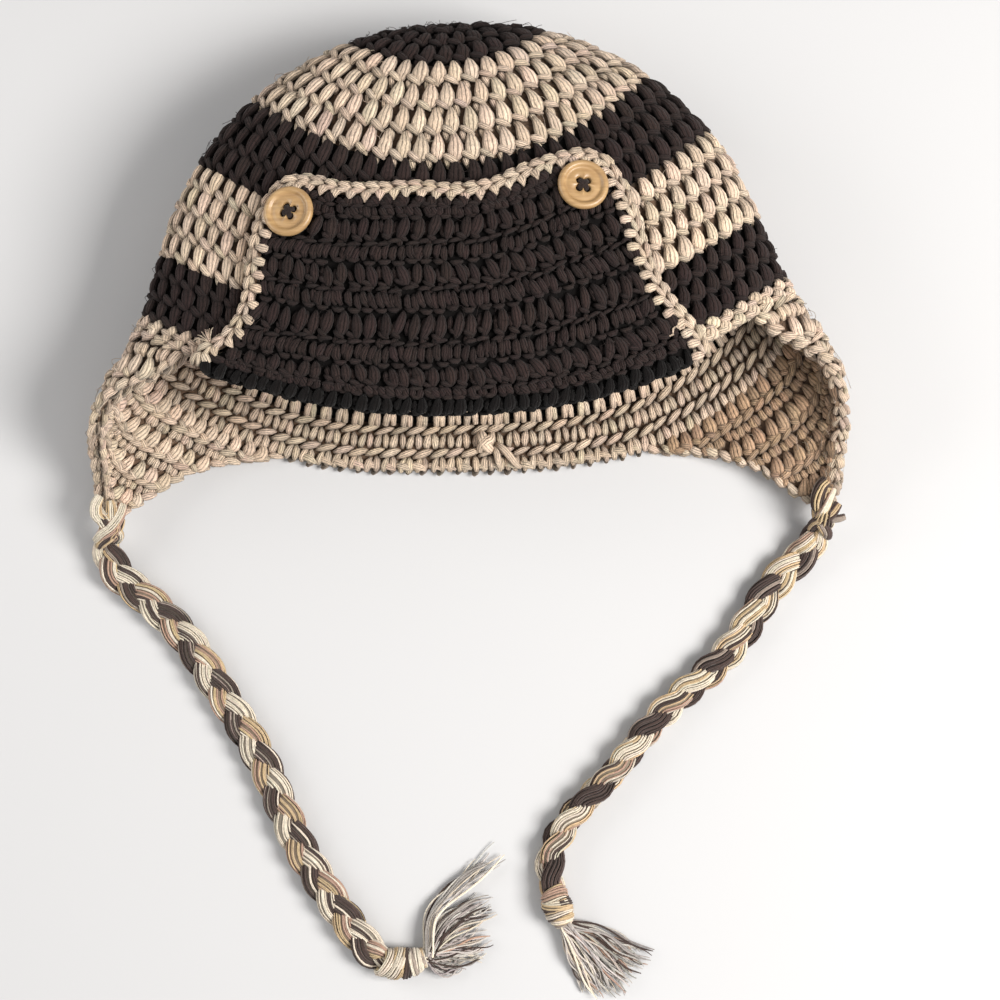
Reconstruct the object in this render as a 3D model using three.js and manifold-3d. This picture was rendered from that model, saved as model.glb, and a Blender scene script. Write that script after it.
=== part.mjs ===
// A child's crocheted ear-flap hat, lying on its back with its braided ties spread on the surface.
// Millimetres, +Z up. The crown points to +Y, the face opening to -Y, the forehead side is up.
import * as THREE from 'three';
import { mergeVertices } from 'three/addons/utils/BufferGeometryUtils.js';
import Module from 'manifold-3d';

const wasm = await Module();
wasm.setup();

// Driving dimensions
const wall = 4.5; // thickness of the crocheted fabric
const gap = 0.3; // clearance between pieces that touch
const crownRadius = 115.5; // of the round outline of the crown, seen from above
const crownCentre = { x: -0.4, y: -21.1 }; // middle of that round outline
const poleHeight = 27; // of the crown's centre round above the floor
const upperBend = 34; // how slowly the crown turns over to the forehead side
const lowerBend = 19; // and to the back, which lies on the floor
const backReach = 0.91; // rows at the back lie this much closer than at the sides
const foreheadTuck = 12; // the rows under the turned-up flap are pushed up by this much
const footSink = 3; // cloth within this height is pressed flat on the floor
const frontEdge = 175.5; // length of the fabric from the crown's centre to the forehead edge
const backEdge = 189; // and to the edge at the nape
const flapReach = 247; // and to the tip of an ear flap
const around = 40; // facets round the crown

// Stripes, each with the distance from the crown's centre where it ends
const stripes = [
  { name: 'crown_cap', end: 37.5, yarn: 'dark', rows: 5 },
  { name: 'crown_tan_upper', end: 79, yarn: 'tan', rows: 4 },
  { name: 'crown_dark_middle', end: 109, yarn: 'dark', rows: 3 },
  { name: 'crown_tan_middle', end: 146, yarn: 'tan', rows: 4 },
  { name: 'crown_dark_lower', end: 169.5, yarn: 'dark', rows: 3 },
];

// Way that the side of the hat runs: 0 degrees is straight outward, 90 straight to the face opening
const sideRun = [
  { at: 0, value: 0 },
  { at: 60, value: 29.8 },
  { at: 118, value: 59.6 },
  { at: 148, value: 73 },
  { at: 170, value: 65 },
  { at: 190, value: 58 },
  { at: 208, value: 69 },
  { at: 226, value: 88 },
  { at: 252, value: 90 },
];
// Height of the widest line
const wideLine = [
  { at: 0, value: 27 },
  { at: 40, value: 31 },
  { at: 90, value: 34 },
  { at: 165, value: 36 },
  { at: 205, value: 38 },
  { at: 226, value: 28 },
  { at: 248, value: 14 },
];
// How far the forehead side sinks towards its edge
const foreheadSink = [
  { at: 0, value: 0 },
  { at: 100, value: 0 },
  { at: 175, value: -6 },
  { at: 250, value: -8 },
];
// Turn of the crown against the ear flaps, in degrees, over the distance from the crown's middle
const crownTurn = { crown: 3.6, flaps: 0.7, from: -70, over: 80 };

// Ear flap: angle round the hat of its front and back edge, from its base (0) to its tip (1)
const flapFront = [
  { at: 0, value: 38 },
  { at: 0.18, value: 31 },
  { at: 0.34, value: 20 },
  { at: 0.5, value: 9 },
  { at: 0.7, value: 2 },
  { at: 1, value: -6 },
];
const flapBack = [
  { at: 0, value: -66 },
  { at: 0.25, value: -53 },
  { at: 0.5, value: -44 },
  { at: 0.75, value: -36 },
  { at: 1, value: -24 },
];

// Middle of the crocheted edge of the turned-up flap: angle round the hat and distance from the pole,
// from the fold up the left side, over the top, and down the right side to the fold
const edgingLine = [
  { angle: 139.1, reach: 175.5 },
  { angle: 137.6, reach: 172 },
  { angle: 134.2, reach: 166.5 },
  { angle: 131.5, reach: 157 },
  { angle: 130.3, reach: 147.5 },
  { angle: 130.6, reach: 139 },
  { angle: 131, reach: 131 },
  { angle: 131.5, reach: 122 },
  { angle: 131.6, reach: 112 },
  { angle: 130.4, reach: 104.5 },
  { angle: 127.4, reach: 100 },
  { angle: 122.5, reach: 97.2 },
  { angle: 116.2, reach: 96 },
  { angle: 109.5, reach: 94 },
  { angle: 101.5, reach: 91.2 },
  { angle: 95.5, reach: 90.8 },
  { angle: 89.5, reach: 91.8 },
  { angle: 84.8, reach: 91.6 },
  { angle: 80.6, reach: 90.4 },
  { angle: 70.5, reach: 88.4 },
  { angle: 65.3, reach: 89 },
  { angle: 60.2, reach: 90.6 },
  { angle: 57, reach: 94.2 },
  { angle: 55.4, reach: 99 },
  { angle: 54.8, reach: 110.8 },
  { angle: 55.2, reach: 121 },
  { angle: 55.8, reach: 134.5 },
  { angle: 54.9, reach: 147.5 },
  { angle: 53.2, reach: 158 },
  { angle: 50.2, reach: 168.6 },
  { angle: 49.3, reach: 175.5 },
];
const upperCorners = { left: 10, right: 21 }; // rows of that table at the two upper corners
const edgingRadius = 2.5;
const edgingPast = 4; // how far each end of the edge runs on round the fold
const sideStations = 10; // steps up a side of the flap
const topStations = 16; // and across its top
const brimThickness = 4.5;
const brimFold = 5; // how far the fold stands out past the forehead edge

// Buttons: where they sit, and how their four holes are turned
const buttons = [
  { side: 'left', angle: 125.2, reach: 111.5, turn: 20 },
  { side: 'right', angle: 63.5, reach: 102.2, turn: 42 },
];
const buttonRadius = 9;
const buttonHole = { radius: 0.85, spacing: 2.7 };
const threadRadius = 0.52;
const seatHeight = gap + brimThickness + gap; // underside of a button above the crown

// Ties
const braidRadius = 5.3;
const braidSides = 10;
const hitchRadius = 4.6; // of the hitch under the tip of the flap
const straightOut = 5; // a braid leaves its hitch straight for this long
const flapTipAngle = -12; // angle round the hat of the middle of an ear flap's tip

// Middle line of each braid as it lies on the surface, from its hitch to its knot
const braidLines = {
  left: [
    { x: -135.1, y: -93.8, z: 9.4 },
    { x: -133.9, y: -103.6, z: 7 },
    { x: -131.1, y: -108.3, z: 5.9 },
    { x: -126.7, y: -112.7, z: 5.4 },
    { x: -119.7, y: -118.3, z: 5.4 },
    { x: -112.4, y: -124.9, z: 5.4 },
    { x: -105.4, y: -132.7, z: 5.4 },
    { x: -98.9, y: -141.9, z: 5.4 },
    { x: -92.6, y: -151.9, z: 5.4 },
    { x: -86.1, y: -161.8, z: 5.4 },
    { x: -79.7, y: -172.3, z: 5.4 },
    { x: -73.8, y: -183.9, z: 5.4 },
    { x: -68.6, y: -196.1, z: 5.4 },
    { x: -62.9, y: -208.4, z: 5.4 },
    { x: -56.4, y: -219.6, z: 5.4 },
    { x: -49.5, y: -229.8, z: 5.4 },
    { x: -42.7, y: -239.3, z: 5.4 },
    { x: -37.8, y: -245.4, z: 5.4 },
    { x: -34.2, y: -248.7, z: 5.5 },
    { x: -30.2, y: -251.1, z: 5.6 },
  ],
  right: [
    { x: 132.5, y: -90, z: 9.2 },
    { x: 127.7, y: -99, z: 6.5 },
    { x: 123.3, y: -103.3, z: 5.6 },
    { x: 118.1, y: -108.4, z: 5.4 },
    { x: 112.7, y: -114.7, z: 5.4 },
    { x: 107.4, y: -123, z: 5.4 },
    { x: 101.6, y: -132.2, z: 5.4 },
    { x: 94.4, y: -140.7, z: 5.4 },
    { x: 85.6, y: -148.7, z: 5.4 },
    { x: 76.2, y: -156.8, z: 5.4 },
    { x: 67.4, y: -166, z: 5.4 },
    { x: 59.6, y: -175.5, z: 5.4 },
    { x: 52.3, y: -184.1, z: 5.4 },
    { x: 45, y: -191.6, z: 5.4 },
    { x: 38.3, y: -199, z: 5.4 },
    { x: 33, y: -206.8, z: 5.4 },
    { x: 30.6, y: -214.7, z: 5.4 },
    { x: 30.8, y: -221.7, z: 5.5 },
    { x: 32.2, y: -227.6, z: 5.6 },
  ],
};
// Knots: how each runs on from its braid's end, and how thick it is there
const knotLines = {
  left: [
    { x: -27.3, y: -251.9, z: 6, radius: 5.9 },
    { x: -24.3, y: -252.1, z: 6.1, radius: 6.3 },
    { x: -21.1, y: -251.7, z: 6, radius: 6 },
    { x: -18.5, y: -250.9, z: 5.2, radius: 5 },
    { x: -16.5, y: -250.2, z: 4.6, radius: 3.8 },
  ],
  right: [
    { x: 32.9, y: -230, z: 5.9, radius: 5.6 },
    { x: 33.7, y: -232.3, z: 5.8, radius: 5.4 },
    { x: 34.5, y: -234.4, z: 5, radius: 4.5 },
    { x: 35.3, y: -236.3, z: 4.4, radius: 3.5 },
  ],
};
const knotStart = 5.1; // radius of a knot where it meets its braid
// Locks of each tassel: where a lock bends and where it ends
const tasselLocks = {
  left: [
    { bendX: -12.7, bendY: -233.4, tipX: 8.1, tipY: -215 },
    { bendX: -7.8, bendY: -235.9, tipX: 5.5, tipY: -229.6 },
    { bendX: -5.8, bendY: -240.9, tipX: 7.3, tipY: -234.2 },
    { bendX: -4.3, bendY: -246.9, tipX: 5.7, tipY: -243.2 },
    { bendX: -5.3, bendY: -250.2, tipX: 4.9, tipY: -248.8 },
    { bendX: -9.1, bendY: -253.8, tipX: -2.9, tipY: -252 },
  ],
  right: [
    { bendX: 49.1, bendY: -240.8, tipX: 65.7, tipY: -249.8 },
    { bendX: 48.2, bendY: -243.6, tipX: 61.3, tipY: -253.6 },
    { bendX: 46.9, bendY: -246.7, tipX: 58.1, tipY: -258.4 },
    { bendX: 44.7, bendY: -249.2, tipX: 53.9, tipY: -262 },
    { bendX: 42.1, bendY: -250.4, tipX: 49.3, tipY: -263.6 },
    { bendX: 39.3, bendY: -249, tipX: 45.9, tipY: -260.4 },
  ],
};
const lockRadii = [2.4, 2.5, 2.2, 1.7, 1];
const lockHeights = [3.9, 3.1, 2.5, 2, 1.4];

// Cubic line through a table of rows { at, value }
function along(table, at) {
  const last = table.length - 1;
  const x = Math.min(Math.max(at, table[0].at), table[last].at);
  let k = 0;
  while (k < last - 1 && x >= table[k + 1].at) k += 1;
  const slope = (i) => {
    const a = table[Math.max(i - 1, 0)];
    const b = table[Math.min(i + 1, last)];
    return (b.value - a.value) / (b.at - a.at);
  };
  const width = table[k + 1].at - table[k].at;
  const t = (x - table[k].at) / width;
  const t2 = t * t;
  const t3 = t2 * t;
  return (
    (2 * t3 - 3 * t2 + 1) * table[k].value +
    (t3 - 2 * t2 + t) * width * slope(k) +
    (3 * t2 - 2 * t3) * table[k + 1].value +
    (t3 - t2) * width * slope(k + 1)
  );
}

function easeIn(value) {
  const t = Math.min(Math.max(value, 0), 1);
  return t * t * (3 - 2 * t);
}

// Running sum of a rate over the distance from the crown's centre, as a function
function runningSum(rate) {
  const step = 0.5;
  const sums = [0];
  for (let i = 1; i * step <= flapReach + 13; i += 1) {
    sums.push(sums[i - 1] + (step * (rate((i - 1) * step) + rate(i * step))) / 2);
  }
  return (s) => {
    const k = Math.min(Math.floor(s / step), sums.length - 2);
    const t = s / step - k;
    return sums[k] * (1 - t) + sums[k + 1] * t;
  };
}

const radians = THREE.MathUtils.degToRad;
const bendAngle = (s, slowness) => (Math.PI / 2) * (1 - Math.exp(-s / slowness));
const sideOut = runningSum((s) => Math.cos(radians(along(sideRun, s))));
const sideDown = runningSum((s) => Math.sin(radians(along(sideRun, s))));
const upperDown = runningSum((s) => Math.sin(bendAngle(s, upperBend)));
const upperRise = runningSum((s) => Math.cos(bendAngle(s, upperBend)));
const lowerDown = runningSum((s) => Math.sin(bendAngle(s, lowerBend)));
const lowerDrop = runningSum((s) => Math.cos(bendAngle(s, lowerBend)));
const wholeDrop = lowerDrop(flapReach + 12);

// Outside of the fabric: angle round the hat (0 right, 90 forehead, 270 back) and distance from the pole
function surfacePoint(angle, s) {
  const sine = Math.sin(radians(angle));
  const cosine = Math.cos(radians(angle));
  const upper = sine >= 0;
  const squareness = upper ? 0.9 : 0.66;
  const lift = Math.abs(sine) ** squareness;
  const x = sideOut(s) * Math.sign(cosine) * Math.abs(cosine) ** squareness;
  const middle = along(wideLine, s);
  const top = poleHeight + upperRise(s) + along(foreheadSink, s);
  const bottom = poleHeight * (1 - lowerDrop(s) / wholeDrop);
  const raw = middle + ((upper ? top : bottom) - middle) * lift;
  const sink = footSink * Math.min(Math.max(1 - raw / (4 * footSink), 0), 1);
  const z = Math.max(0, raw - sink);
  const sideY = crownRadius - sideDown(s);
  const upperY = crownRadius - upperDown(s) + foreheadTuck * easeIn((s - 80) / 95);
  const lowerY = crownRadius - lowerDown(s) * backReach;
  const y = sideY + ((upper ? upperY : lowerY) - sideY) * Math.abs(sine) ** 2.1;
  const share = easeIn((y - crownTurn.from) / crownTurn.over);
  const turn = radians(crownTurn.flaps + (crownTurn.crown - crownTurn.flaps) * share);
  return new THREE.Vector3(
    x * Math.cos(turn) - y * Math.sin(turn) + crownCentre.x,
    x * Math.sin(turn) + y * Math.cos(turn) + crownCentre.y,
    z,
  );
}

function surfaceNormal(angle, s) {
  const reach = Math.max(s, 1.5);
  const across = surfacePoint(angle + 0.2, reach).sub(surfacePoint(angle - 0.2, reach));
  const down = surfacePoint(angle, reach + 0.4).sub(surfacePoint(angle, reach - 0.4));
  return across.cross(down).normalize();
}

// A point at a height above the outside of the fabric (below it where the height is negative).
// Where two pieces meet, both take their normal at the seam between them.
function fabricPoint(angle, s, height, seam = s) {
  const normal = s < 0.01 ? new THREE.Vector3(0, 1, 0) : surfaceNormal(angle, seam);
  return surfacePoint(angle, s).addScaledVector(normal, height);
}

// Closed body from triangles given as corner points; repeated corners are joined, faces turned outward
function bodyFromTriangles(triangles) {
  const places = new Map();
  const points = [];
  const number = (p) => {
    const key = `${Math.round(p.x * 1e4)},${Math.round(p.y * 1e4)},${Math.round(p.z * 1e4)}`;
    if (!places.has(key)) {
      places.set(key, points.length);
      points.push(p);
    }
    return places.get(key);
  };
  const faces = triangles
    .map((corners) => corners.map(number))
    .filter(([a, b, c]) => a !== b && b !== c && a !== c);
  let volume = 0;
  for (const [a, b, c] of faces) {
    volume += points[a].dot(points[b].clone().cross(points[c]));
  }
  const index = faces.flatMap(([a, b, c]) => (volume > 0 ? [a, b, c] : [a, c, b]));
  const geometry = new THREE.BufferGeometry();
  geometry.setAttribute(
    'position',
    new THREE.Float32BufferAttribute(points.flatMap((p) => [p.x, p.y, p.z]), 3),
  );
  geometry.setIndex(index);
  return geometry;
}

function quad(a, b, c, d) {
  return [
    [a, b, c],
    [a, c, d],
  ];
}

// Sheet with a thickness: rows of points on its outer face and the same rows on its inner face
function sheetBody(outer, inner, closed) {
  const rows = outer.length - 1;
  const columns = outer[0].length - (closed ? 0 : 1);
  const next = (j) => (closed ? (j + 1) % columns : j + 1);
  const triangles = [];
  for (let i = 0; i < rows; i += 1) {
    for (let j = 0; j < columns; j += 1) {
      const k = next(j);
      triangles.push(...quad(outer[i][j], outer[i][k], outer[i + 1][k], outer[i + 1][j]));
      triangles.push(...quad(inner[i][k], inner[i][j], inner[i + 1][j], inner[i + 1][k]));
    }
  }
  for (let j = 0; j < columns; j += 1) {
    const k = next(j);
    triangles.push(...quad(outer[0][k], outer[0][j], inner[0][j], inner[0][k]));
    triangles.push(...quad(outer[rows][k], inner[rows][k], inner[rows][j], outer[rows][j]));
  }
  if (!closed) {
    for (let i = 0; i < rows; i += 1) {
      triangles.push(...quad(outer[i][0], outer[i + 1][0], inner[i + 1][0], inner[i][0]));
      triangles.push(
        ...quad(outer[i + 1][columns], outer[i][columns], inner[i][columns], inner[i + 1][columns]),
      );
    }
  }
  return bodyFromTriangles(triangles);
}

// Closed rings of points, one after another, with a flat fan over the first and the last
function ringBody(rings) {
  const count = rings[0].length;
  const triangles = [];
  for (let i = 0; i + 1 < rings.length; i += 1) {
    for (let j = 0; j < count; j += 1) {
      const k = (j + 1) % count;
      triangles.push(...quad(rings[i][j], rings[i][k], rings[i + 1][k], rings[i + 1][j]));
    }
  }
  const fan = (ring, reversed) => {
    const middle = new THREE.Vector3();
    ring.forEach((p) => middle.addScaledVector(p, 1 / count));
    for (let j = 0; j < count; j += 1) {
      const k = (j + 1) % count;
      triangles.push(reversed ? [middle, ring[k], ring[j]] : [middle, ring[j], ring[k]]);
    }
  };
  fan(rings[0], true);
  fan(rings[rings.length - 1], false);
  return bodyFromTriangles(triangles);
}

// Tube round a line of points, with a radius for each of them
function tubeBody(line, radii, sides) {
  const rings = line.map((point, i) => {
    const before = line[Math.max(i - 1, 0)];
    const after = line[Math.min(i + 1, line.length - 1)];
    const heading = after.clone().sub(before).normalize();
    const level = new THREE.Vector3(-heading.y, heading.x, 0).normalize();
    const upright = heading.clone().cross(level).normalize();
    return Array.from({ length: sides }, (_, j) => {
      const turn = (2 * Math.PI * (j + 0.5)) / sides;
      return point
        .clone()
        .addScaledVector(level, radii[i] * Math.cos(turn))
        .addScaledVector(upright, radii[i] * Math.sin(turn));
    });
  });
  return ringBody(rings);
}

function solid(geometry) {
  const bare = geometry.clone();
  bare.deleteAttribute('normal');
  bare.deleteAttribute('uv');
  const merged = mergeVertices(bare, 1e-4);
  return new wasm.Manifold(
    new wasm.Mesh({
      numProp: 3,
      vertProperties: new Float32Array(merged.attributes.position.array),
      triVerts: new Uint32Array(merged.index.array),
    }),
  );
}

function geometryOf(manifold) {
  const mesh = manifold.getMesh();
  const geometry = new THREE.BufferGeometry();
  geometry.setAttribute('position', new THREE.BufferAttribute(mesh.vertProperties.slice(), 3));
  geometry.setIndex(new THREE.BufferAttribute(mesh.triVerts.slice(), 1));
  return geometry;
}

const finishes = {
  dark: { color: 0x3a3230, roughness: 0.95, metalness: 0 },
  tan: { color: 0xcdb59a, roughness: 0.95, metalness: 0 },
  wood: { color: 0xc8a069, roughness: 0.55, metalness: 0 },
  thread: { color: 0x1d1a1a, roughness: 0.9, metalness: 0 },
  mixed: { color: 0xb39f8c, roughness: 0.9, metalness: 0 },
};
const hat = new THREE.Group();

function addPiece(name, geometry, finish) {
  const mesh = new THREE.Mesh(geometry, new THREE.MeshStandardMaterial(finishes[finish]));
  mesh.name = name;
  hat.add(mesh);
  return mesh;
}

// Angles that split a round of the crown into equal lengths, so that the facets are even
function evenAngles(count) {
  const samples = 1440;
  const lengths = [0];
  for (let i = 1; i <= samples; i += 1) {
    const here = surfacePoint((360 * i) / samples, 140);
    const before = surfacePoint((360 * (i - 1)) / samples, 140);
    lengths.push(lengths[i - 1] + here.distanceTo(before));
  }
  const angles = [];
  let k = 0;
  for (let j = 0; j < count; j += 1) {
    const target = (lengths[samples] * j) / count;
    while (lengths[k + 1] < target) k += 1;
    const t = (target - lengths[k]) / (lengths[k + 1] - lengths[k]);
    angles.push((360 * (k + t)) / samples);
  }
  return angles;
}

const roundAngles = evenAngles(around);

// Edge of the rounds under the last stripe: short over the forehead, longer at the nape
function edgeReach(angle) {
  const share = easeIn(((1 - Math.sin(radians(angle))) / 2 - 0.3) / 0.5);
  return frontEdge + (backEdge - frontEdge) * share;
}

// A closed ring of the crown between two seams, given by their distance from the pole
function crownRing(from, to, rows) {
  const level = (height) =>
    Array.from({ length: rows + 1 }, (_, i) =>
      roundAngles.map((angle) => {
        const seam = from + ((to(angle) - from) * i) / rows;
        const first = i === 0 && from > 0 ? gap / 2 : 0;
        const last = i === rows ? gap / 2 : 0;
        return fabricPoint(angle, seam + first - last, height, seam);
      }),
    );
  return sheetBody(level(0), level(-wall), true);
}

let stripeStart = 0;
for (const stripe of stripes) {
  addPiece(stripe.name, crownRing(stripeStart, () => stripe.end, stripe.rows), stripe.yarn);
  stripeStart = stripe.end;
}
addPiece('lower_band', crownRing(stripeStart, edgeReach, 2), 'tan');

// Ear flap: rows that go on from the lower band and narrow to a rounded tip
function earFlap(mirrored) {
  const rows = 8;
  const base = roundAngles
    .map((angle) => (mirrored ? 180 - angle : angle))
    .map((angle) => (angle > 180 ? angle - 360 : angle))
    .filter((angle) => angle < flapFront[0].value + 3 && angle > flapBack[0].value - 3)
    .sort((a, b) => b - a);
  const first = base[0];
  const last = base[base.length - 1];
  const level = (height) =>
    Array.from({ length: rows + 1 }, (_, i) => {
      const v = i / rows;
      const row = base.map((angle) => {
        const u = (first - angle) / (first - last);
        const front = along(flapFront, v) + (first - flapFront[0].value) * (1 - v);
        const back = along(flapBack, v) + (last - flapBack[0].value) * (1 - v);
        const here = front + (back - front) * u;
        const seam = edgeReach(angle);
        const tip = flapReach - 5 * (2 * u - 1) ** 2;
        const turned = mirrored ? 180 - here : here;
        const reach = seam + (tip - seam) * v;
        return fabricPoint(turned, i === 0 ? seam + gap / 2 : reach, height, reach);
      });
      // both flaps run round the hat the same way as the rings do, so that facing walls match
      return mirrored ? row : row.reverse();
    });
  return sheetBody(level(0), level(-wall), false);
}

addPiece('ear_flap_left', earFlap(true), 'tan');
addPiece('ear_flap_right', earFlap(false), 'tan');

// Stations along the crocheted edge, as angle round the hat and distance from the pole
function edgingStations() {
  const curve = new THREE.CatmullRomCurve3(
    edgingLine.map((row) => new THREE.Vector3(row.angle, row.reach, 0)),
    false,
    'centripetal',
  );
  const last = edgingLine.length - 1;
  const { left, right } = upperCorners;
  const rows = [
    ...stepsBetween(0, left, sideStations),
    ...stepsBetween(left, right, topStations),
    ...stepsBetween(right, last, sideStations),
    last,
  ];
  return rows.map((row) => curve.getPoint(row / last)).map((p) => ({ angle: p.x, reach: p.y }));
}

function stepsBetween(from, to, count) {
  return Array.from({ length: count }, (_, i) => from + ((to - from) * i) / count);
}

// Crocheted edge of the turned-up flap: a round bar that lies on the crown and runs on round the fold
function edgingBar() {
  const stations = edgingStations();
  const first = stations[0];
  const last = stations[stations.length - 1];
  const rows = [
    { angle: first.angle, reach: first.reach + edgingPast },
    ...stations,
    { angle: last.angle, reach: last.reach + edgingPast },
  ];
  const line = rows.map(({ angle, reach }) => fabricPoint(angle, reach, gap + edgingRadius));
  return tubeBody(line, line.map(() => edgingRadius), 8);
}

// The flap's own outline: the same stations, moved inward by the thickness of the edge
function brimOutline() {
  const stations = edgingStations();
  const places = stations.map(({ angle, reach }) => surfacePoint(angle, reach));
  return stations.map(({ angle, reach }, i) => {
    const before = places[Math.max(i - 1, 0)];
    const after = places[Math.min(i + 1, places.length - 1)];
    const inward = after.clone().sub(before).cross(surfaceNormal(angle, reach)).normalize();
    const perDegree = surfacePoint(angle + 0.5, reach).sub(surfacePoint(angle - 0.5, reach));
    const perReach = surfacePoint(angle, reach + 0.5).sub(surfacePoint(angle, reach - 0.5));
    const shift = edgingRadius + 2 * gap;
    return {
      angle: angle + (shift * inward.dot(perDegree)) / perDegree.lengthSq(),
      reach: Math.min(reach + (shift * inward.dot(perReach)) / perReach.lengthSq(), frontEdge),
    };
  });
}

// Round of the fold: how far it runs past the forehead edge, and how high, on its outer face
const foldOuter = [
  { past: 2.6, height: brimThickness },
  { past: 4.4, height: 2.9 },
  { past: brimFold, height: 0.4 },
  { past: 4.2, height: -2.4 },
  { past: 2.2, height: -wall + gap },
];

// Turned-up flap: its rows follow the outline's sides, and it runs on round the forehead edge
function brimBody() {
  const outline = brimOutline();
  const left = outline.slice(0, sideStations + 1).reverse();
  const top = outline.slice(sideStations, sideStations + topStations + 1);
  const right = outline.slice(sideStations + topStations);
  left[sideStations].reach = frontEdge;
  right[sideStations].reach = frontEdge;
  const place = (i, j, key) => {
    const v = i / sideStations;
    const u = j / topStations;
    const level = left[i][key] * (1 - u) + right[i][key] * u;
    const crest = left[0][key] * (1 - u) + right[0][key] * u;
    return level + (top[j][key] - crest) * (1 - v);
  };
  const columns = top.map((_, j) => j);
  const rows = left.map((_, i) => i);
  const face = (height) =>
    rows.map((i) =>
      columns.map((j) => fabricPoint(place(i, j, 'angle'), place(i, j, 'reach'), height)),
    );
  const beyond = (past, height) =>
    columns.map((j) => fabricPoint(place(sideStations, j, 'angle'), frontEdge + past, height));
  const outer = foldOuter.map(({ past, height }) => beyond(past, height));
  const lastStep = foldOuter.length - 1;
  const inner = foldOuter.map((_, i) => beyond(gap, gap - (wall * i) / lastStep));
  return sheetBody([...face(gap + brimThickness), ...outer], [...face(gap), ...inner], false);
}

addPiece('brim_edging', edgingBar(), 'tan');
addPiece('front_brim', brimBody(), 'dark');

// Where a button sits: its own frame, with z along the fabric's normal
function seatMatrix({ angle, reach, turn }) {
  const up = surfaceNormal(angle, reach);
  const side = new THREE.Vector3(1, 0, 0).addScaledVector(up, -up.x).normalize();
  const ahead = up.clone().cross(side);
  const place = fabricPoint(angle, reach, seatHeight);
  return new THREE.Matrix4()
    .makeBasis(side, ahead, up)
    .setPosition(place)
    .multiply(new THREE.Matrix4().makeRotationZ(radians(turn)));
}

function standing(geometry) {
  return geometry.rotateX(Math.PI / 2);
}

const holePlaces = [
  [1, 0],
  [0, 1],
  [-1, 0],
  [0, -1],
].map(([x, y]) => ({
  x: (x * buttonHole.spacing) / Math.SQRT2,
  y: (y * buttonHole.spacing) / Math.SQRT2,
}));

// Turned wooden button with a round rim, a dished middle and four holes
function buttonBody() {
  const profile = [
    { radius: 0, height: 0 },
    { radius: 7.4, height: 0 },
    { radius: 8.6, height: 0.8 },
    { radius: buttonRadius, height: 1.9 },
    { radius: 8.6, height: 3 },
    { radius: 7.7, height: 3.4 },
    { radius: 6.8, height: 3.1 },
    { radius: 6, height: 2.3 },
    { radius: 0, height: 2.1 },
  ].map(({ radius, height }) => new THREE.Vector2(radius, height));
  let body = solid(standing(new THREE.LatheGeometry(profile, 20)));
  for (const { x, y } of holePlaces) {
    const drill = standing(new THREE.CylinderGeometry(buttonHole.radius, buttonHole.radius, 8, 8));
    body = body.subtract(solid(drill.translate(x, y, 2)));
  }
  return geometryOf(body);
}

// Sewing thread: a leg down each hole and two crossing stitches over the middle
function threadBody() {
  const stitchHeight = 2.1 + gap + threadRadius;
  let body = null;
  const join = (piece) => {
    body = body === null ? solid(piece) : body.add(solid(piece));
  };
  for (const { x, y } of holePlaces) {
    const leg = standing(new THREE.CylinderGeometry(threadRadius, threadRadius, stitchHeight, 6));
    join(leg.translate(x, y, stitchHeight / 2));
  }
  const reach = 2 * holePlaces[0].x + 2 * threadRadius;
  for (const turn of [0, Math.PI / 2]) {
    const stitch = new THREE.CylinderGeometry(threadRadius, threadRadius, reach, 6);
    join(stitch.rotateZ(Math.PI / 2 + turn).translate(0, 0, stitchHeight));
  }
  return geometryOf(body);
}

for (const button of buttons) {
  const seat = seatMatrix(button);
  addPiece(`button_${button.side}`, buttonBody(), 'wood').applyMatrix4(seat);
  addPiece(`button_thread_${button.side}`, threadBody(), 'thread').applyMatrix4(seat);
}

// Hitch of a tie: its strands lie on the inside of the flap's tip, come round the edge of the tip
// and are drawn together below it. Height is measured from the outside of the fabric.
const hitchOver = [
  { reach: 240.5, height: -6.5, radius: 1.6 },
  { reach: 244.5, height: -7.5, radius: 2.3 },
  { reach: 249.5, height: -8.8, radius: 2.3 },
];
// The same below the tip, as a share of the length down to the braid
const hitchUnder = [
  { share: 0.4, radius: 3.2 },
  { share: 0.65, radius: hitchRadius },
  { share: 1, radius: 4 },
];

function pointOf({ x, y, z }) {
  return new THREE.Vector3(x, y, z);
}

// A point by the tip of an ear flap
function tipPoint(side, reach, height) {
  const angle = side === 'left' ? 180 - flapTipAngle : flapTipAngle;
  return fabricPoint(angle, reach, height, flapReach);
}

// Where the hitch starts to run straight towards its braid
function hitchTop(side) {
  return tipPoint(side, flapReach + 10 * gap, -wall / 2 - 1);
}

// The braid's line, with a straight piece in line with the hitch at its beginning
function braidLine(side) {
  const rows = braidLines[side].map(pointOf);
  const heading = rows[0].clone().sub(hitchTop(side)).normalize();
  const straight = rows[0].clone().addScaledVector(heading, straightOut);
  return { heading, points: [rows[0], straight, ...rows.slice(1)] };
}

function tieLoop(side) {
  const { heading, points } = braidLine(side);
  const top = hitchTop(side);
  const length = points[0].distanceTo(top) - gap;
  const line = [
    ...hitchOver.map(({ reach, height }) => tipPoint(side, reach, height)),
    ...hitchUnder.map(({ share }) => top.clone().addScaledVector(heading, length * share)),
  ];
  return tubeBody(line, [...hitchOver, ...hitchUnder].map((row) => row.radius), 8);
}

// Plain round body of a braid, extruded along its line
function braidBody(side) {
  const { points } = braidLine(side);
  const section = Array.from({ length: braidSides }, (_, j) => {
    const turn = (2 * Math.PI * j) / braidSides;
    return new THREE.Vector2(braidRadius * Math.cos(turn), braidRadius * Math.sin(turn));
  });
  return new THREE.ExtrudeGeometry(new THREE.Shape(section), {
    steps: points.length - 1,
    bevelEnabled: false,
    extrudePath: new THREE.CatmullRomCurve3(points, false, 'centripetal'),
  });
}

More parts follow.
